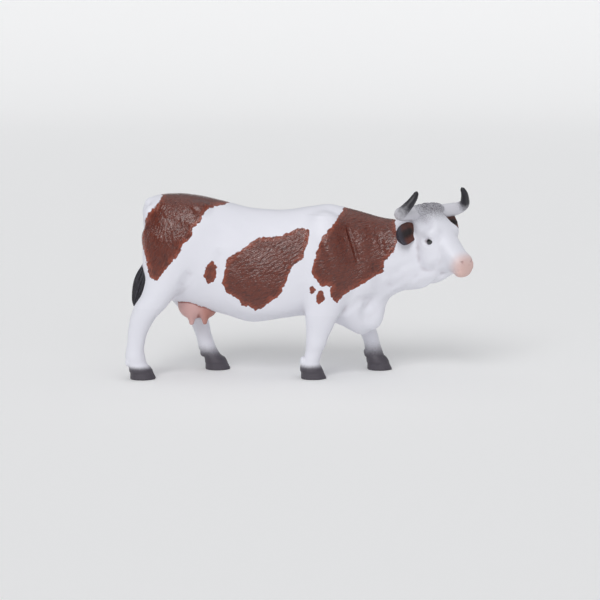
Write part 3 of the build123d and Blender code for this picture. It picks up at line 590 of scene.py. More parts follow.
def piece_labels(body, leg_share, bag):
    """0 outside the body, and inside it the number of the piece in PIECES, counted from 1."""
    number = {name: i for i, name in enumerate(PIECES, start=1)}
    label = np.zeros(GRID_COUNT, dtype=np.uint8)
    x, y, z = grid_axes
    label[:, y < 0, :] = number["trunk_right_half"]
    label[:, y >= 0, :] = number["trunk_left_half"]
    front = (past_neck_joint(x[:, None, None], z[None, None, :]) > 0) & (x[:, None, None] > NECK_START)
    label[np.broadcast_to(front, label.shape)] = number["head_and_neck"]
    for name, (spans, own) in leg_share.items():
        label[spans][own] = number[name]
    label[bag] = number["udder"]
    label[body >= 0] = 0
    return label


# Surface of the sculpted body

CORNERS = np.array([(i, j, k) for i in (0, 1) for j in (0, 1) for k in (0, 1)])
EDGES = [(a, b) for a in range(8) for b in range(a + 1, 8) if np.abs(CORNERS[a] - CORNERS[b]).sum() == 1]


def neighbours(array, axis):
    """Every point along an axis but the last, and the next one to each."""
    first, second = [slice(None)] * 3, [slice(None)] * 3
    first[axis], second[axis] = slice(None, -1), slice(1, None)
    return array[tuple(first)], array[tuple(second)]


def net_surface(body, label):
    """Surface net of a labelled field. Each cell that the surface crosses gets one point, the mean of the
    crossings on its edges; each grid edge between unlike labels gives a quad of its four cells' points."""
    low, high = label, label
    for axis in range(3):
        low = np.minimum(*neighbours(low, axis))
        high = np.maximum(*neighbours(high, axis))
    cells = np.argwhere(low != high)
    values = np.stack([body[tuple((cells + c).T)] for c in CORNERS], axis=1)
    marks = np.stack([label[tuple((cells + c).T)] for c in CORNERS], axis=1)
    outer_sum, inner_sum = np.zeros((len(cells), 3)), np.zeros((len(cells), 3))
    outer_count, inner_count = np.zeros(len(cells)), np.zeros(len(cells))
    for a, b in EDGES:
        outer = (marks[:, a] == 0) != (marks[:, b] == 0)
        t = np.where(outer, values[:, a] / np.where(outer, values[:, a] - values[:, b], 1), 0)
        spot = CORNERS[a] + np.clip(t, 0, 1)[:, None] * (CORNERS[b] - CORNERS[a])
        outer_sum += np.where(outer[:, None], spot, 0)
        outer_count += outer
        inner = ~outer & (marks[:, a] != marks[:, b])
        inner_sum += np.where(inner[:, None], (CORNERS[a] + CORNERS[b]) / 2, 0)
        inner_count += inner
    offset = np.where((outer_count > 0)[:, None], outer_sum / np.maximum(outer_count, 1)[:, None],
                      inner_sum / np.maximum(inner_count, 1)[:, None])
    points = GRID_LOW + CELL * (cells + offset)
    ends = CORNERS.T == 1
    slope = np.stack([values[:, end].mean(1) - values[:, ~end].mean(1) for end in ends], axis=1)
    normals = slope / np.maximum(np.linalg.norm(slope, axis=1), NEAR_ZERO)[:, None]
    index = np.full(low.shape, -1, dtype=np.int32)
    index[tuple(cells.T)] = np.arange(len(cells), dtype=np.int32)
    quads = {k: [] for k in range(1, label.max() + 1)}
    for axis in range(3):
        a, b = neighbours(label, axis)
        at = np.argwhere(a != b)
        p, q = (axis + 1) % 3, (axis + 2) % 3
        steps = np.zeros((4, 3), dtype=int)
        steps[1, p] = steps[2, p] = steps[2, q] = steps[3, q] = -1
        corner = np.stack([index[tuple((at + s).T)] for s in steps], axis=1)
        below, above = a[tuple(at.T)], b[tuple(at.T)]
        for k in quads:
            quads[k].append(corner[below == k])
            quads[k].append(corner[above == k][:, ::-1])
    return cells, points, normals, {k: np.concatenate(v) for k, v in quads.items()}


def hollow_shade(body, cells, reach):
    """How deep in a crease each point lies: minus the field's second difference over the reach, in mm."""
    n = max(1, int(round(reach / CELL)))
    total, middle = np.zeros(len(cells)), body[tuple(cells.T)]
    for axis in range(3):
        for way in (-n, n):
            at = cells.copy()
            at[:, axis] = np.clip(at[:, axis] + way, 0, body.shape[axis] - 1)
            total += body[tuple(at.T)] - middle
    return -total


# Horns, ears and tail: rings of points along a line


def turn_angles(around):
    """Even angles round a ring."""
    return np.linspace(0, FULL_TURN, around, endpoint=False)


def skin(rings):
    """Points and faces of a closed surface over rings of points: quads between neighbouring rings, and fans
    to the middle of the first and the last ring."""
    count, around = rings.shape[:2]
    points = np.concatenate([rings.reshape(-1, 3), rings[:1].mean(1), rings[-1:].mean(1)])
    row = np.arange(count - 1)[:, None] * around
    here = np.arange(around)[None, :]
    after = (here + 1) % around
    quads = np.stack([row + here, row + after, row + around + after, row + around + here], axis=-1)
    end = (count - 1) * around
    first = np.stack([after[0], here[0], np.full(around, count * around)], axis=1)
    last = np.stack([here[0] + end, after[0] + end, np.full(around, count * around + 1)], axis=1)
    return points, quads.reshape(-1, 4).tolist() + first.tolist() + last.tolist()


def along_rings(share, around):
    """The share along the line of every point of a skin."""
    return np.concatenate([np.repeat(share, around), share[:1], share[-1:]])


def table_at(table, share):
    """Column of values at shares along a line, from rows of a share and a value."""
    return smooth_rows(table[:, 0], table[:, 1:], share)


def bar_frames(line, steps, reference):
    """Shares, centres, normals and binormals along a smooth line: the normal is the reference less its part
    along the tangent, and the binormal is tangent x normal."""
    reach = np.concatenate([[0], np.cumsum(np.linalg.norm(np.diff(line, axis=0), axis=1))])
    share = np.linspace(0, 1, steps)
    centre = smooth_rows(reach / reach[-1], line, share)
    tangent = np.gradient(centre, axis=0)
    tangent /= np.linalg.norm(tangent, axis=1)[:, None]
    normal = reference - (tangent @ reference)[:, None] * tangent
    normal /= np.linalg.norm(normal, axis=1)[:, None]
    return share, centre, normal, np.cross(tangent, normal)


def bar_rings(frames, radius):
    """Rings centre + r(t, a) * (cos a * normal + sin a * binormal)."""
    _, centre, normal, binormal = frames
    angle = turn_angles(radius.shape[1])
    spoke = np.cos(angle)[None, :, None] * normal[:, None] + np.sin(angle)[None, :, None] * binormal[:, None]
    return centre[:, None] + radius[:, :, None] * spoke


HORN_LINE = np.array([  # in the head's frame
    (-3.4, 5.0, 61.4), (-3.3, 9.0, 61.6), (-2.6, 12.8, 61.8), (-1.7, 16.1, 62.2), (0.5, 16.7, 63.6),
    (2.3, 15.2, 66.2), (3.1, 13.6, 68.7), (3.0, 12.3, 70.5),
])
HORN_RADII = np.array([
    (0, 2.6), (0.22, 2.45), (0.40, 2.45), (0.52, 2.2), (0.66, 1.8), (0.80, 1.45), (0.92, 1.05), (0.98, 0.6),
    (1, 0.12),
])
HORN_STEPS, HORN_AROUND = 90, 48
GROWTH_RINGS, GROWTH_HEIGHT, GROWTH_END = 50, 0.010, (0.4, 0.7)  # heights as shares of the radius
FLUTES, FLUTE_HEIGHT, FLUTE_TURN, FLUTE_START = 9, 0.018, 0.8, (0.15, 0.4)


def horn_surface(side):
    """A horn: a round bar whose radius falls to a blunt tip, with faint growth rings r * sin(50 t) near its
    root and faint flutes r * cos(9 a) along it."""
    line = np.array([head_point(forward, side * left, height) for forward, left, height in HORN_LINE])
    frames = bar_frames(line, HORN_STEPS, HEAD_AXES[0])
    share = frames[0][:, None]
    rings = GROWTH_HEIGHT * np.sin(GROWTH_RINGS * share) * (1 - smooth_step(*GROWTH_END, share))
    flutes = FLUTE_HEIGHT * np.cos(FLUTES * turn_angles(HORN_AROUND) + FLUTE_TURN)
    radius = table_at(HORN_RADII, frames[0]) * (1 + rings + flutes * smooth_step(*FLUTE_START, share))
    return *skin(bar_rings(frames, radius)), {"along": along_rings(frames[0], HORN_AROUND)}


EAR_ROOT = np.array([-2.6, 6.6, 56.0])  # in the head's frame
EAR_TIPS = {-1: np.array([-1.8, 16.6, 54.0]), 1: np.array([-1.8, 15.6, 57.6])}  # only the right ear hangs
EAR_SPREAD = np.array([
    (0, 0.55), (0.12, 0.72), (0.3, 0.93), (0.5, 1.0), (0.7, 1.0), (0.84, 0.92), (0.93, 0.76), (0.98, 0.48),
    (1, 0.06),
])
EAR_HALF_HEIGHT, EAR_THICKNESS, EAR_CUP, EAR_DROOP = 3.8, 0.9, 1.5, 0.6
EAR_TILT = 0.3  # lean of its upper edge to the back
EAR_STEPS, EAR_AROUND = 56, 64
EAR_CUP_START, EAR_LEAST = (0.0, 0.35), 0.35  # where the cup deepens, and the least share of the thickness
EAR_HOLLOW_START, EAR_HOLLOW_POWER = (0.02, 0.3), 1.5
EAR_SLATE = {-1: 1.0, 1: 0.68}  # less of the left ear's tip is slate


def ear_surface(side):
    """An ear: a leaf along the line from its root to its tip. Across it w = cos v, its surface lies at
    cup * (w^2 - 1) + thickness * sin v in front of the leaf's plane, so that its front is hollow."""
    root, tip = (head_point(*place * (1, side, 1)) for place in (EAR_ROOT, EAR_TIPS[side]))
    angle = turn_angles(EAR_AROUND)
    share = np.linspace(0, 1, EAR_STEPS)[:, None]
    ahead, _, upright = HEAD_AXES
    along = (tip - root) / np.linalg.norm(tip - root)
    up = upright - EAR_TILT * ahead
    up -= (up @ along) * along
    up /= np.linalg.norm(up)
    out = np.cross(along, up)
    way = 1 if out @ ahead > 0 else -1
    spread = table_at(EAR_SPREAD, share[:, 0])
    across = EAR_HALF_HEIGHT * np.cos(angle) * spread
    cup = way * EAR_CUP * spread * (np.cos(angle) ** 2 - 1) * smooth_step(*EAR_CUP_START, share)
    thick = EAR_THICKNESS * (EAR_LEAST + (1 - EAR_LEAST) * spread) * np.sin(angle)
    middle = root + share * (tip - root) - EAR_DROOP * share**2 * upright
    rings = middle[:, None] + across[:, :, None] * up + (cup + thick)[:, :, None] * out
    # share in the hollow of the ear's cup, which its finish paints near black as painted shade
    inner = np.clip(way * np.sin(angle), 0, 1) * (1 - np.abs(np.cos(angle)) ** EAR_HOLLOW_POWER)
    hollow = inner * smooth_step(*EAR_HOLLOW_START, share)
    slate = along_rings(share[:, 0], EAR_AROUND) * EAR_SLATE[side]
    return *skin(rings), {"hollow": np.concatenate([hollow.ravel(), [0, 0]]), "along": slate}


TAIL_LINE = np.array([
    (3.6, 0.0, 63.8), (1.2, 0.0, 64.6), (-0.3, 0.0, 63.0), (-0.8, 0.0, 59.5), (-0.8, 0.0, 54.0),
    (-0.8, 0.0, 47.0), (-2.0, 0.0, 40.0), (-4.1, -0.4, 33.0), (-6.2, -0.8, 26.0),
])
TAIL_RADII = np.array([
    (0, 2.2), (0.1, 1.9), (0.2, 1.5), (0.35, 1.15), (0.5, 1.05), (0.6, 1.15), (0.7, 2.1), (0.8, 2.5),
    (0.9, 1.9), (0.97, 0.9), (1, 0.1),
])
TAIL_STEPS, TAIL_AROUND = 170, 72
SWITCH_START = 0.58, 0.72
LOCKS = [(0.085, 7, 9, 0), (0.06, 13, -5, 1)]  # height as a share of the radius, count, twist and turn


def tail_surface():
    """The tail: a round bar that narrows, then swells to the switch, whose hair is cut into locks by
    r * cos(n a + twist t) for two counts n."""
    frames = bar_frames(TAIL_LINE, TAIL_STEPS, np.array([0, 1.0, 0]))
    share, angle = frames[0][:, None], turn_angles(TAIL_AROUND)
    locks = sum(height * np.cos(n * angle + twist * share + turn) for height, n, twist, turn in LOCKS)
    radius = table_at(TAIL_RADII, frames[0]) * (1 + smooth_step(*SWITCH_START, share) * locks)
    return *skin(bar_rings(frames, radius)), {"along": along_rings(frames[0], TAIL_AROUND)}


# Camera, by which the patches are laid out too

CAMERA_DISTANCE = 650.0
CAMERA_RISE = math.radians(8.5)
CAMERA_AIM = np.array([0.466, -0.919, 28.6])
PICTURE_SIZE, PIXEL = 600, 0.375
SENSOR_WIDTH, CLIP_START = 36, 0.01


def picture_place(points):
    """Where points of the figure's frame fall in the camera's picture, in its pixels."""
    offset = points + HOME - CAMERA_AIM
    up = offset[:, 1] * math.sin(CAMERA_RISE) + offset[:, 2] * math.cos(CAMERA_RISE)
    depth = CAMERA_DISTANCE + offset[:, 1] * math.cos(CAMERA_RISE) - offset[:, 2] * math.sin(CAMERA_RISE)
    scale = CAMERA_DISTANCE / depth / PIXEL
    return PICTURE_SIZE / 2 + offset[:, 0] * scale, PICTURE_SIZE / 2 - up * scale


# Outlines of the brown patches: of the right side in the picture's pixels, of the left in mm of the side view

RIGHT_PATCHES = [
    [(164, 178), (232, 178), (228.6, 203), (221, 205), (207.6, 208.7), (201.8, 217), (199.9, 222),
     (192.8, 228.4), (192.3, 236), (182.7, 243.7), (180.8, 251), (171, 263), (164.5, 270), (157, 280.5),
     (150, 278), (145.4, 256), (140, 240), (142, 224.5), (149, 212), (157.8, 204.4), (162, 197)],
    [(212.8, 259), (216.7, 268.5), (215, 280), (208, 285), (204, 276), (205.7, 267.6)],
    [(222, 281.6), (227, 259.5), (231.7, 254.8), (243, 248.8), (253.8, 240.8), (258, 238), (266.6, 237.4),
     (279, 236), (288.7, 232.4), (296.7, 228.7), (303.4, 226.7), (308.8, 230.7), (308, 241.4), (302.7, 258),
     (296.7, 263.5), (292, 268), (286.7, 281.6), (282, 291), (278, 297.7), (270.6, 301), (262, 308.4),
     (255, 310.4), (248.5, 305.7), (241.8, 306.4), (239, 299.7), (233.8, 296.4), (227.7, 294.3),
     (223.7, 287.6)],
    [(310.5, 271.5), (321, 238), (334.4, 223), (345, 206), (345, 184), (400, 196), (395.4, 222.4),
     (397.5, 240), (393.3, 253), (384, 261.7), (383.5, 271), (370, 279), (356, 287), (349, 292),
     (343.5, 295.4), (337, 304), (333.7, 301.7), (329.5, 293), (332, 286), (321, 286), (314, 278.5)],
    [(312.3, 286.6), (315, 289.5), (314.6, 293), (312, 295), (309.6, 292), (309.8, 288.6)],
    [(323, 290.5), (325.2, 294), (324, 300), (319.5, 304.5), (316.6, 302), (316.6, 296), (319.4, 291.6)],
]
LEFT_PATCHES = [
    [(5.4, 76), (30, 76), (29, 66), (24, 61), (22.5, 55), (17, 50), (15.5, 45), (10, 41.5), (6, 39), (2, 42),
     (-2, 50), (-2, 58), (3, 64)],
    [(25, 50), (28, 56), (35, 59), (41, 57.5), (49, 59), (54, 53), (52, 46), (54, 40), (48, 35), (41, 36),
     (35, 31.5), (29, 36), (27, 44)],
    [(73, 76), (95, 76), (93.5, 60), (95, 52), (89, 47), (86, 41), (78, 38), (74, 32), (68, 34), (66, 42),
     (61, 47), (62, 55), (69, 62)],
    [(58, 33), (61, 36), (60, 40), (56.5, 38.5), (55.8, 35)],
]
NECK_SWAY, NECK_SPAN = 8.0, (84, 110)  # how far the neck's back runs to the right, and over which x
BACK_STRIP = -0.6, 2.4  # y over which the right side's patches go over into the left side's


def outline_distance(across, up, outline):
    """Signed distance to a closed outline, positive inside: the least distance to its sides, and the sign
    from the count of sides that a level ray crosses."""
    start = np.asarray(outline, float)
    side = np.roll(start, -1, axis=0) - start
    dx = across[:, None] - start[:, 0]
    dy = up[:, None] - start[:, 1]
    t = np.clip((dx * side[:, 0] + dy * side[:, 1]) / (side**2).sum(1), 0, 1)
    gap = np.sqrt(((dx - t * side[:, 0]) ** 2 + (dy - t * side[:, 1]) ** 2).min(1))
    spans = (dy >= 0) != (dy - side[:, 1] >= 0)
    hit = dx < side[:, 0] * dy / np.where(side[:, 1] == 0, NEAR_ZERO, side[:, 1])
    inside = (spans & hit).sum(1) % 2 == 1
    return np.where(inside, gap, -gap)


def patch_depth(points):
    """Depth inside the brown patches in mm, below zero on the white."""
    across, up = picture_place(points)
    right = np.max([outline_distance(across, up, o) for o in RIGHT_PATCHES], axis=0) * PIXEL
    left = np.max([outline_distance(points[:, 0], points[:, 2], o) for o in LEFT_PATCHES], axis=0)
    middle = points[:, 1] + NECK_SWAY * smooth_step(*NECK_SPAN, points[:, 0])
    return right + (left - right) * smooth_step(*BACK_STRIP, middle)


HAIR_LEANS = (0.5, 1.1)  # lie of the hair at the rump and ahead of it, in radians back from the upright
LEAN_CHANGE = 20, 32  # x between which the one lie goes over into the other
LEAN_CHANGE_HOME = -36 * MM, -24 * MM  # and the same in the row's frame
HAIR_COVER = -0.3, 0.9  # depth in a patch over which the hair rises
HAIR_WAVES, HAIR_SEED, HAIR_HEIGHT = 12, 12, 0.010  # waves for each lie, and the height of one in mm
HAIR_SWING, HAIR_DRIFT, HAIR_LENGTHS = (-1.1, 1.1), (-0.4, 0.4), (0.9, 1.5)  # ranges of the draws


def hair_relief(points, normals, depth):
    """Moulded hair of the brown patches: each point moves along its normal by a sum of sine waves that run
    across the lie of the hair and a little along it, and its normal tilts by the slope of that sum."""
    ahead = smooth_step(*LEAN_CHANGE, points[:, 0])
    cover = smooth_step(*HAIR_COVER, depth)
    height, slope = np.zeros(len(points)), np.zeros((len(points), 3))
    rng = np.random.default_rng(HAIR_SEED)
    for lean, share in zip(HAIR_LEANS, (1 - ahead, ahead)):
        lie = np.array([math.sin(lean), 0, math.cos(lean)])
        across = np.array([math.cos(lean), 0, -math.sin(lean)])
        for _ in range(HAIR_WAVES):
            swing, drift, length = (rng.uniform(*ends) for ends in (HAIR_SWING, HAIR_DRIFT, HAIR_LENGTHS))
            course = math.cos(swing) * across + math.sin(swing) * np.array([0, 1, 0]) + drift * lie
            wave = FULL_TURN / length * course
            phase = points @ wave + rng.uniform(0, PHASE_END)
            height += share * cover * HAIR_HEIGHT * np.sin(phase)
            slope += (share * cover * HAIR_HEIGHT * np.cos(phase))[:, None] * wave
    slope -= (slope * normals).sum(1)[:, None] * normals
    tilted = normals - slope
    return points + height[:, None] * normals, tilted / np.linalg.norm(tilted, axis=1)[:, None]


# Places of the head's other colours, in its own frame

MUZZLE_PINK, PINK_SLANT, LIP_HEIGHT = (10.2, 17.6), 0.5, 43
POLL_GREY, GREY_HEIGHTS, GREY_MIDDLE, GREY_SCALE = (3.0, 12.0), (55.5, 63.5), -2.2, (1.15, 0.9)
EYE_RIM = np.array(EYE_RADII) * (1.08, 1.2, 1.08)  # radii out to which the black reaches
NO_EYE = -9.0
# where the head's painted crease shade is left off: to the left, above a height, and behind a reach forward
SHADE_OFF_LEFT, SHADE_OFF_HEIGHTS, SHADE_OFF_END = (-2.5, 1.0), (49.0, 53.0), (-3.0, 0.0)


def head_place(points):
    """Forward, left and height of points in the head's frame."""
    flat = points[:, :2] - POLL
    return flat @ FORWARD, flat @ LEFT, points[:, 2]


def head_paint(points):
    """Shares of the head's other colours: pink muzzle, grey poll and black eyes."""
    forward, left, height = head_place(points)
    pink = smooth_step(*MUZZLE_PINK, forward - PINK_SLANT * (height - LIP_HEIGHT))
    gap = np.hypot((forward - GREY_MIDDLE) * GREY_SCALE[0], GREY_SCALE[1] * left)
    grey = (1 - smooth_step(*POLL_GREY, gap)) * smooth_step(*GREY_HEIGHTS, height)
    eye = np.full(len(points), NO_EYE)
    for side in BOTH:
        offset = np.stack([forward, left, height], axis=1) - EYE_PLACE * (1, side, 1)
        eye = np.maximum(eye, 1 - np.linalg.norm(offset / EYE_RIM, axis=1))
    return pink, grey, eye


def crease_shade_share(points):
    """1 where the painted crease shade is kept, 0 where it is left off: behind the top of the skull, and on
    the left behind all of it."""
    forward, left, height = head_place(points)
    shade_off = np.maximum(smooth_step(*SHADE_OFF_LEFT, left), smooth_step(*SHADE_OFF_HEIGHTS, height))
    return 1 - shade_off * (1 - smooth_step(*SHADE_OFF_END, forward))


# Materials

SMOOTH, COLOURS = {"interpolation_type": "SMOOTHSTEP"}, {"data_type": "RGBA"}
TIMES_PLUS, PLUS = {"operation": "MULTIPLY_ADD"}, {"operation": "ADD"}
CREASE_SHADE = "#aea4ac"  # grey-violet painted shade, laid in the creases by their depth
# Sizes of the patterns in mm. A pixel of the picture is 0.375 mm, and the real hair and specks are finer than
# that, so they are drawn as coarse as they need to show.
HAIR_BEND, HAIR_SHIFT = 5, 3  # size of the bends in the lie of the hair, and how far they move it
COAT_HAIR, LEG_HAIR, EAR_HAIR, TAIL_HAIR = (0.5, 2.6), (0.42, 1.7), (0.4, 1.3), (0.4, 3.0)  # breadth, length
RIM_GRAIN, RIM_LOBES, POLL_SPECKS = 0.7, 2.2, 0.4
FADE_GRAIN, HORN_GRAIN, BRUSH_GRAIN, SWITCH_GRAIN = 0.6, 1.2, 1.0, 1.0
COAT_RELIEF, LEG_RELIEF, EAR_RELIEF, TAIL_RELIEF = 0.3, 0.2, 0.15, 0.2  # depth of the hair
LEG_LEAN, EAR_LEAN, TAIL_LEAN = 0.0, 1.2, -0.2  # of the hair, in radians back from the upright


def paint(code):
    """Linear colour of an sRGB hex value."""
    parts = [int(code[i : i + 2], 16) / 255 for i in (1, 3, 5)]
    return tuple(c / 12.92 if c <= 0.04045 else ((c + 0.055) / 1.055) ** 2.4 for c in parts) + (1.0,)


def add_node(tree, kind, settings=None, inputs=None, output=0):
    """Adds a node with its settings, sets or links its inputs by name or number, and gives one output."""
    node = tree.nodes.new("ShaderNode" + kind)
    for key, value in (settings or {}).items():
        setattr(node, key, value)
    for key, value in (inputs or {}).items():
        if isinstance(value, bpy.types.NodeSocket):
            tree.links.new(value, node.inputs[key])
        else:
            node.inputs[key].default_value = value
    return node.outputs[output] if node.outputs else node


def finish(name, surface):
    """Material of that name; the function given lays out the nodes of its surface."""
    material = bpy.data.materials.new(name)
    material.use_nodes = True
    material.node_tree.nodes.clear()
    add = partial(add_node, material.node_tree)
    add("OutputMaterial", None, {"Surface": surface(add)})
    return material


def hair_strokes(add, breadth, length, lean):
    """Moulded hair: noise drawn out to strokes of the given breadth and length in mm, leaned back from the
    upright by an angle, over object coordinates bent by a broader noise."""
    place = add("TexCoord", output="Object")
    bend = add("TexNoise", None, {"Vector": place, "Scale": 1 / (HAIR_BEND * MM)}, "Color")
    shift = add("VectorMath", {"operation": "SCALE"}, {0: bend, "Scale": HAIR_SHIFT * MM})
    bent = add("VectorMath", PLUS, {0: place, 1: shift})
    size = (breadth * MM, breadth * MM, length * MM)
    lain = add("Mapping", {"vector_type": "TEXTURE"},
               {"Vector": bent, "Rotation": (0, lean, 0), "Scale": size})
    return add("TexNoise", None, {"Vector": lain, "Scale": 1.0, "Detail": 2.5, "Roughness": 0.55})


def coat_paint(add):
    """White and brown paint on moulded PVC: the white is airbrushed and satin, with grey-violet painted
    shade in the creases; the brown is brushed over the moulded hair, glossier, with a lighter ragged rim
    and painted shade of darker brown in the furrows of the hair."""
    place = add("TexCoord", output="Object")
    crease, patch, pink, grey, eye = (
        add("Attribute", {"attribute_name": name}, output="Fac")
        for name in ("crease", "patch", "pink", "grey", "eye"))
    fine, broad, specks = (
        add("TexNoise", None, {"Vector": place, "Scale": 1 / (size * MM), "Detail": detail})
        for size, detail in ((RIM_GRAIN, 2.0), (RIM_LOBES, 2.0), (POLL_SPECKS, 4.0)))
    falling, lying = (hair_strokes(add, *COAT_HAIR, lean) for lean in HAIR_LEANS)
    along = add("SeparateXYZ", None, {"Vector": place})
    ahead = add("MapRange", SMOOTH, {0: along, 1: LEAN_CHANGE_HOME[0], 2: LEAN_CHANGE_HOME[1]})
    change = add("Math", {"operation": "SUBTRACT"}, {0: lying, 1: falling})
    strokes = add("Math", TIMES_PLUS, {0: ahead, 1: change, 2: falling})
    ragged = add("Math", TIMES_PLUS, {0: broad, 1: 2.0, 2: -1.45})
    ragged = add("Math", TIMES_PLUS, {0: fine, 1: 0.9, 2: ragged})
    edge = add("Math", PLUS, {0: patch, 1: ragged})
    painted = add("MapRange", SMOOTH, {0: edge, 1: -0.05, 2: 0.1})
    # painted shade: grey-violet on the white, as deep as the crease
    crease_shade = add("MapRange", SMOOTH, {0: crease, 1: 0.3, 2: 3.0})
    white = add("Mix", COLOURS, {0: crease_shade, 6: paint("#e6e6ee"), 7: paint(CREASE_SHADE)}, 2)
    white = add("Mix", COLOURS, {0: pink, 6: white, 7: paint("#dcbab3")}, 2)
    specks = add("MapRange", SMOOTH, {0: specks, 1: 0.3, 2: 0.7})
    specks = add("Math", TIMES_PLUS, {0: specks, 1: 0.6, 2: 0.5})
    specks = add("Math", {"operation": "MULTIPLY"}, {0: grey, 1: specks})
    white = add("Mix", COLOURS, {0: specks, 6: white, 7: paint("#6a676e")}, 2)
    deep = add("MapRange", SMOOTH, {0: edge, 1: 0.0, 2: 2.4})
    brown = add("Mix", COLOURS, {0: deep, 6: paint("#904028"), 7: paint("#662918")}, 2)
    # painted shade: darker brown in the low furrows of the hair strokes
    furrow = add("MapRange", SMOOTH, {0: strokes, 1: 0.6, 2: 0.25})
    brown = add("Mix", COLOURS, {0: furrow, 6: brown, 7: paint("#4a1b11")}, 2)
    colour = add("Mix", COLOURS, {0: painted, 6: white, 7: brown}, 2)
    black = add("MapRange", SMOOTH, {0: eye, 1: 0.0, 2: 0.06})
    colour = add("Mix", COLOURS, {0: black, 6: colour, 7: paint("#0b0a0b")}, 2)
    rough = add("Math", TIMES_PLUS, {0: painted, 1: -0.2, 2: 0.47})
    rough = add("Math", TIMES_PLUS, {0: black, 1: -0.3, 2: rough})
    relief = add("Math", TIMES_PLUS, {0: painted, 1: 0.85, 2: 0.15})
    bump = add("Bump", None, {"Strength": relief, "Distance": COAT_RELIEF * MM, "Height": strokes})
    varnish = add("Math", {"operation": "MAXIMUM"}, {0: painted, 1: black})
    sheen = add("Math", TIMES_PLUS, {0: painted, 1: -0.4, 2: 0.5})
    return add("BsdfPrincipled", None, {
        "Base Color": colour, "Roughness": rough, "Normal": bump, "Specular IOR Level": sheen,
        "Coat Weight": varnish, "Coat Roughness": 0.15, "Coat IOR": 1.55, "Coat Normal": bump})


def leg_paint(add):
    """White airbrushed paint on moulded PVC that darkens to black-grey hooves, with grey-violet painted shade
    in the creases; on the left legs the grey reaches higher, painted shade.
    """
    place = add("TexCoord", output="Object")
    crease, soot = (add("Attribute", {"attribute_name": name}, output="Fac") for name in ("crease", "soot"))
    # painted shade: grey-violet in the creases
    crease_shade = add("MapRange", SMOOTH, {0: crease, 1: 0.3, 2: 3.0})
    colour = add("Mix", COLOURS, {0: crease_shade, 6: paint("#e4e4ec"), 7: paint(CREASE_SHADE)}, 2)
    grain = add("TexNoise", None, {"Vector": place, "Scale": 1 / (FADE_GRAIN * MM), "Detail": 2.0})
    # hoof grey, reaching higher on the left legs as painted shade
    soot = add("Math", PLUS, {0: soot, 1: -0.08})
    soot = add("Math", TIMES_PLUS, {0: grain, 1: 0.16, 2: soot})
    dark = add("MapRange", SMOOTH, {0: soot, 1: 0.0, 2: 1.0})
    colour = add("Mix", COLOURS, {0: dark, 6: colour, 7: paint("#4b464e")}, 2)
    strokes = hair_strokes(add, *LEG_HAIR, LEG_LEAN)
    bump = add("Bump", None, {"Strength": 0.12, "Distance": LEG_RELIEF * MM, "Height": strokes})
    return add("BsdfPrincipled", None, {"Base Color": colour, "Roughness": 0.46, "Normal": bump})


def horn_paint(add):
    """White paint on moulded PVC, airbrushed black from the bend to the tip."""
    place = add("TexCoord", output="Object")
    along = add("Attribute", {"attribute_name": "along"}, output="Fac")
    grain = add("TexNoise", None, {"Vector": place, "Scale": 1 / (HORN_GRAIN * MM), "Detail": 2.0})
    edge = add("Math", TIMES_PLUS, {0: grain, 1: 0.12, 2: along})
    black = add("MapRange", SMOOTH, {0: edge, 1: 0.55, 2: 0.79})
    colour = add("Mix", COLOURS, {0: black, 6: paint("#d6d5dc"), 7: paint("#232128")}, 2)
    return add("BsdfPrincipled", None, {"Base Color": colour, "Roughness": 0.4})


def ear_paint(add):
    """Dark brown brushed paint on moulded PVC, with near black painted shade in the ear's hollow, and slate
    towards its tip.
    """
    place = add("TexCoord", output="Object")
    hollow, along = (add("Attribute", {"attribute_name": name}, output="Fac") for name in ("hollow", "along"))
    grain = add("TexNoise", None, {"Vector": place, "Scale": 1 / (BRUSH_GRAIN * MM), "Detail": 2.0})
    brushed = add("MapRange", SMOOTH, {0: grain, 1: 0.35, 2: 0.7})
    colour = add("Mix", COLOURS, {0: brushed, 6: paint("#5c2d20"), 7: paint("#451f16")}, 2)
    # painted shade: near black in the hollow of the cup
    black = add("MapRange", SMOOTH, {0: hollow, 1: 0.45, 2: 0.95})
    colour = add("Mix", COLOURS, {0: black, 6: colour, 7: paint("#1a0d0a")}, 2)
    slate = add("MapRange", SMOOTH, {0: along, 1: 0.6, 2: 0.86})
    colour = add("Mix", COLOURS, {0: slate, 6: colour, 7: paint("#35323c")}, 2)
    strokes = hair_strokes(add, *EAR_HAIR, EAR_LEAN)
    bump = add("Bump", None, {"Strength": 0.5, "Distance": EAR_RELIEF * MM, "Height": strokes})
    return add("BsdfPrincipled", None, {"Base Color": colour, "Roughness": 0.4, "Normal": bump})


def tail_paint(add):
    """White paint on moulded PVC with a charcoal switch, drybrushed lighter on the locks."""
    place = add("TexCoord", output="Object")
    along = add("Attribute", {"attribute_name": "along"}, output="Fac")
    strokes = hair_strokes(add, *TAIL_HAIR, TAIL_LEAN)
    furrow = add("MapRange", SMOOTH, {0: strokes, 1: 0.15, 2: 0.6})
    charcoal = add("Mix", COLOURS, {0: furrow, 6: paint("#4a4752"), 7: paint("#1c1a20")}, 2)
    grain = add("TexNoise", None, {"Vector": place, "Scale": 1 / (SWITCH_GRAIN * MM), "Detail": 2.0})
    edge = add("Math", TIMES_PLUS, {0: grain, 1: 0.06, 2: along})
    switch = add("MapRange", SMOOTH, {0: edge, 1: 0.62, 2: 0.68})
    colour = add("Mix", COLOURS, {0: switch, 6: paint("#e0e0e8"), 7: charcoal}, 2)
    bump = add("Bump", None, {"Strength": 0.6, "Distance": TAIL_RELIEF * MM, "Height": strokes})
    return add("BsdfPrincipled", None, {"Base Color": colour, "Roughness": 0.45, "Normal": bump})


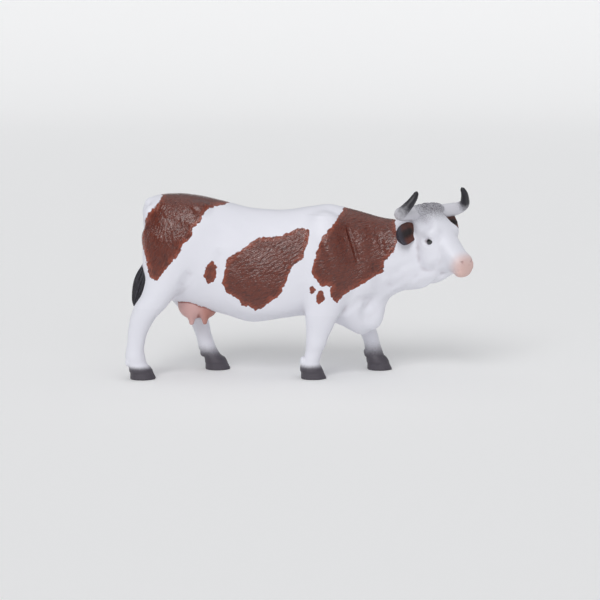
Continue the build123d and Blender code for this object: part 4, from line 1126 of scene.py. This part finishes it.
def udder_paint(add):
    """Flesh pink airbrushed paint on moulded PVC, with painted shade that is darker and redder in the creases
    and towards the front.
    """
    crease, front = (add("Attribute", {"attribute_name": name}, output="Fac") for name in ("crease", "front"))
    # painted shade: darker, redder pink towards the front
    fore = add("MapRange", SMOOTH, {0: front, 1: 0.0, 2: 1.0})
    colour = add("Mix", COLOURS, {0: fore, 6: paint("#cfa5a1"), 7: paint("#b0796e")}, 2)
    # painted shade: darker in the creases
    crease_shade = add("MapRange", SMOOTH, {0: crease, 1: 0.0, 2: 1.0})
    colour = add("Mix", COLOURS, {0: crease_shade, 6: colour, 7: paint("#8f544c")}, 2)
    return add("BsdfPrincipled", None, {"Base Color": colour, "Roughness": 0.42})


def studio_white(add):
    """Matt white paper, without a grain that would show."""
    return add("BsdfPrincipled", None, {"Base Color": paint("#fcfcfc"), "Roughness": 0.9})


# The painted pieces

FINISHES = {
    "coat_paint": finish("satin white and brushed brown paint on moulded PVC", coat_paint),
    "leg_paint": finish("white paint fading to hoof grey on moulded PVC", leg_paint),
    "udder_paint": finish("flesh pink airbrushed paint on moulded PVC", udder_paint),
    "horn_paint": finish("white and black airbrushed paint on moulded PVC", horn_paint),
    "ear_paint": finish("dark brown brushed paint on moulded PVC", ear_paint),
    "tail_paint": finish("white paint with a drybrushed charcoal switch on moulded PVC", tail_paint),
}
HOOF_GREY_AND_SHADE = {  # heights between which a leg's white turns to hoof grey; on the left legs the higher reach is painted shade
    "hindleg_right": (3.2, 6.0),
    "hindleg_left": (3.8, 12.0),
    "foreleg_right": (3.4, 6.6),
    "foreleg_left": (3.8, 14.0),
}
UDDER_FRONT = 16.0, 23.0  # x over which the udder darkens towards the front, painted shade
CREASE_REACH = 1.4


def put_piece(node, slot_name, points, faces, marks, normals=None):
    """One painted piece at the origin, from points in mm of the figure's frame and quads or triangles. It
    stands for a CAD node, rides with the figure and takes a slot's finish."""
    mesh = bpy.data.meshes.new(node + "_painted")
    mesh.from_pydata(((points + HOME) * MM).tolist(), [], faces)
    mesh.update()
    mesh.shade_smooth()
    for key, value in marks.items():
        layer = mesh.attributes.new(key, "FLOAT", "POINT")
        layer.data.foreach_set("value", np.asarray(value, dtype=np.float32))
    if normals is not None:
        mesh.normals_split_custom_set_from_vertices(normals.tolist())
    item = bpy.data.objects.new(node + "_painted", mesh)
    bpy.context.scene.collection.objects.link(item)
    item.data.materials.append(FINISHES[slot_name])
    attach(item, "root")
    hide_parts(node)


body, label = sculpt()
cells, points, normals, quads = net_surface(body, label)
# depth of each point in a crease, which the finishes turn into painted shade
crease = hollow_shade(body, cells, CREASE_REACH)
for k, name in enumerate(PIECES, start=1):
    used, faces = np.unique(quads[k], return_inverse=True)
    own, facing, marks = points[used], normals[used], {"crease": crease[used]}
    slot_name = "coat_paint"
    if name in LEGS:
        slot_name = "leg_paint"
        marks["soot"] = 1 - smooth_step(*HOOF_GREY_AND_SHADE[name], own[:, 2])
    elif name == "udder":
        slot_name = "udder_paint"
        marks["front"] = smooth_step(*UDDER_FRONT, own[:, 0])
    else:
        marks["patch"] = patch_depth(own)
        own, facing = hair_relief(own, facing, marks["patch"])
    if name == "head_and_neck":
        marks["pink"], marks["grey"], marks["eye"] = head_paint(own)
        # the painted crease shade, left off behind the skull
        marks["crease"] = marks["crease"] * crease_shade_share(own)
    put_piece(name, slot_name, own, faces.reshape(-1, 4).tolist(), marks, facing)
for side, word in SIDES:
    put_piece(f"horn_{word}", "horn_paint", *horn_surface(side))
    put_piece(f"ear_{word}", "ear_paint", *ear_surface(side))
put_piece("tail", "tail_paint", *tail_surface())

# Floor, light and camera

PAPER_REACH, PAPER_TURN = 2.0, math.radians(48)  # in metres
PAPER_STEPS, PAPER_AROUND, PAPER_INNER = 24, 96, (0.5, 1.2)


def studio_paper():
    """White paper laid as a bowl: level out to 2 m from the figure, then r = 2 + 2 sin t, z = 2 - 2 cos t up
    to a low rim all round, so that the picture has no edge behind the figure."""
    turn, angle = np.linspace(0, PAPER_TURN, PAPER_STEPS), turn_angles(PAPER_AROUND)
    reach = np.concatenate([PAPER_INNER, PAPER_REACH + PAPER_REACH * np.sin(turn)])[:, None]
    rise = np.concatenate([[0, 0], PAPER_REACH - PAPER_REACH * np.cos(turn)])[:, None]
    rings = np.stack([reach * np.cos(angle), reach * np.sin(angle), rise + 0 * angle], axis=-1)
    points = np.concatenate([rings.reshape(-1, 3), [(0, 0, 0)]])
    here = np.arange(PAPER_AROUND)[None, :]
    after = (here + 1) % PAPER_AROUND
    row = np.arange(len(reach) - 1)[:, None] * PAPER_AROUND
    beyond = row + PAPER_AROUND
    quads = np.stack([row + here, beyond + here, beyond + after, row + after], axis=-1).reshape(-1, 4)
    middle = np.stack([here[0], after[0], np.full(PAPER_AROUND, len(points) - 1)], axis=1)
    mesh = bpy.data.meshes.new("studio paper")
    mesh.from_pydata(points.tolist(), [], quads.tolist() + middle.tolist())
    mesh.shade_smooth()
    mesh.materials.append(finish("white studio paper", studio_white))
    item = bpy.data.objects.new("studio paper", mesh)
    bpy.context.scene.collection.objects.link(item)


def add_lamp(name, place, spread, strength):
    """Broad even light from a direction, as from a softbox of the given angular width."""
    lamp = bpy.data.lights.new(name, "SUN")
    lamp.angle, lamp.energy = math.radians(spread), strength
    item = bpy.data.objects.new(name, lamp)
    item.location = place
    item.rotation_euler = (-Vector(place)).to_track_quat("-Z", "Y").to_euler()
    bpy.context.scene.collection.objects.link(item)


studio_paper()
add_lamp("key softbox", (-0.3, -0.85, 0.72), 32, 1.27)
add_lamp("ceiling softbox", (0.1, 0.1, 1.2), 80, 0.72)
add_lamp("front softbox", (0.5, -1.1, 0.45), 50, 0.28)
world = bpy.data.worlds.new("pale grey room")
world.use_nodes = True
world.node_tree.nodes.clear()
room = add_node(world.node_tree, "Background", None, {"Color": paint("#eef0f4"), "Strength": 0.3})
add_node(world.node_tree, "OutputWorld", None, {"Surface": room})
bpy.context.scene.world = world

camera_data = bpy.data.cameras.new("camera")
camera = bpy.data.objects.new("camera", camera_data)
bpy.context.scene.collection.objects.link(camera)
bpy.context.scene.camera = camera
aim = Vector(CAMERA_AIM * MM)
camera.location = aim + CAMERA_DISTANCE * MM * Vector((0, -math.cos(CAMERA_RISE), math.sin(CAMERA_RISE)))
camera.rotation_euler = (aim - camera.location).to_track_quat("-Z", "Y").to_euler()
camera_data.sensor_width = SENSOR_WIDTH
camera_data.lens = SENSOR_WIDTH * CAMERA_DISTANCE / (PICTURE_SIZE * PIXEL)
camera_data.clip_start = CLIP_START
bpy.context.scene.view_settings.view_transform = "Standard"
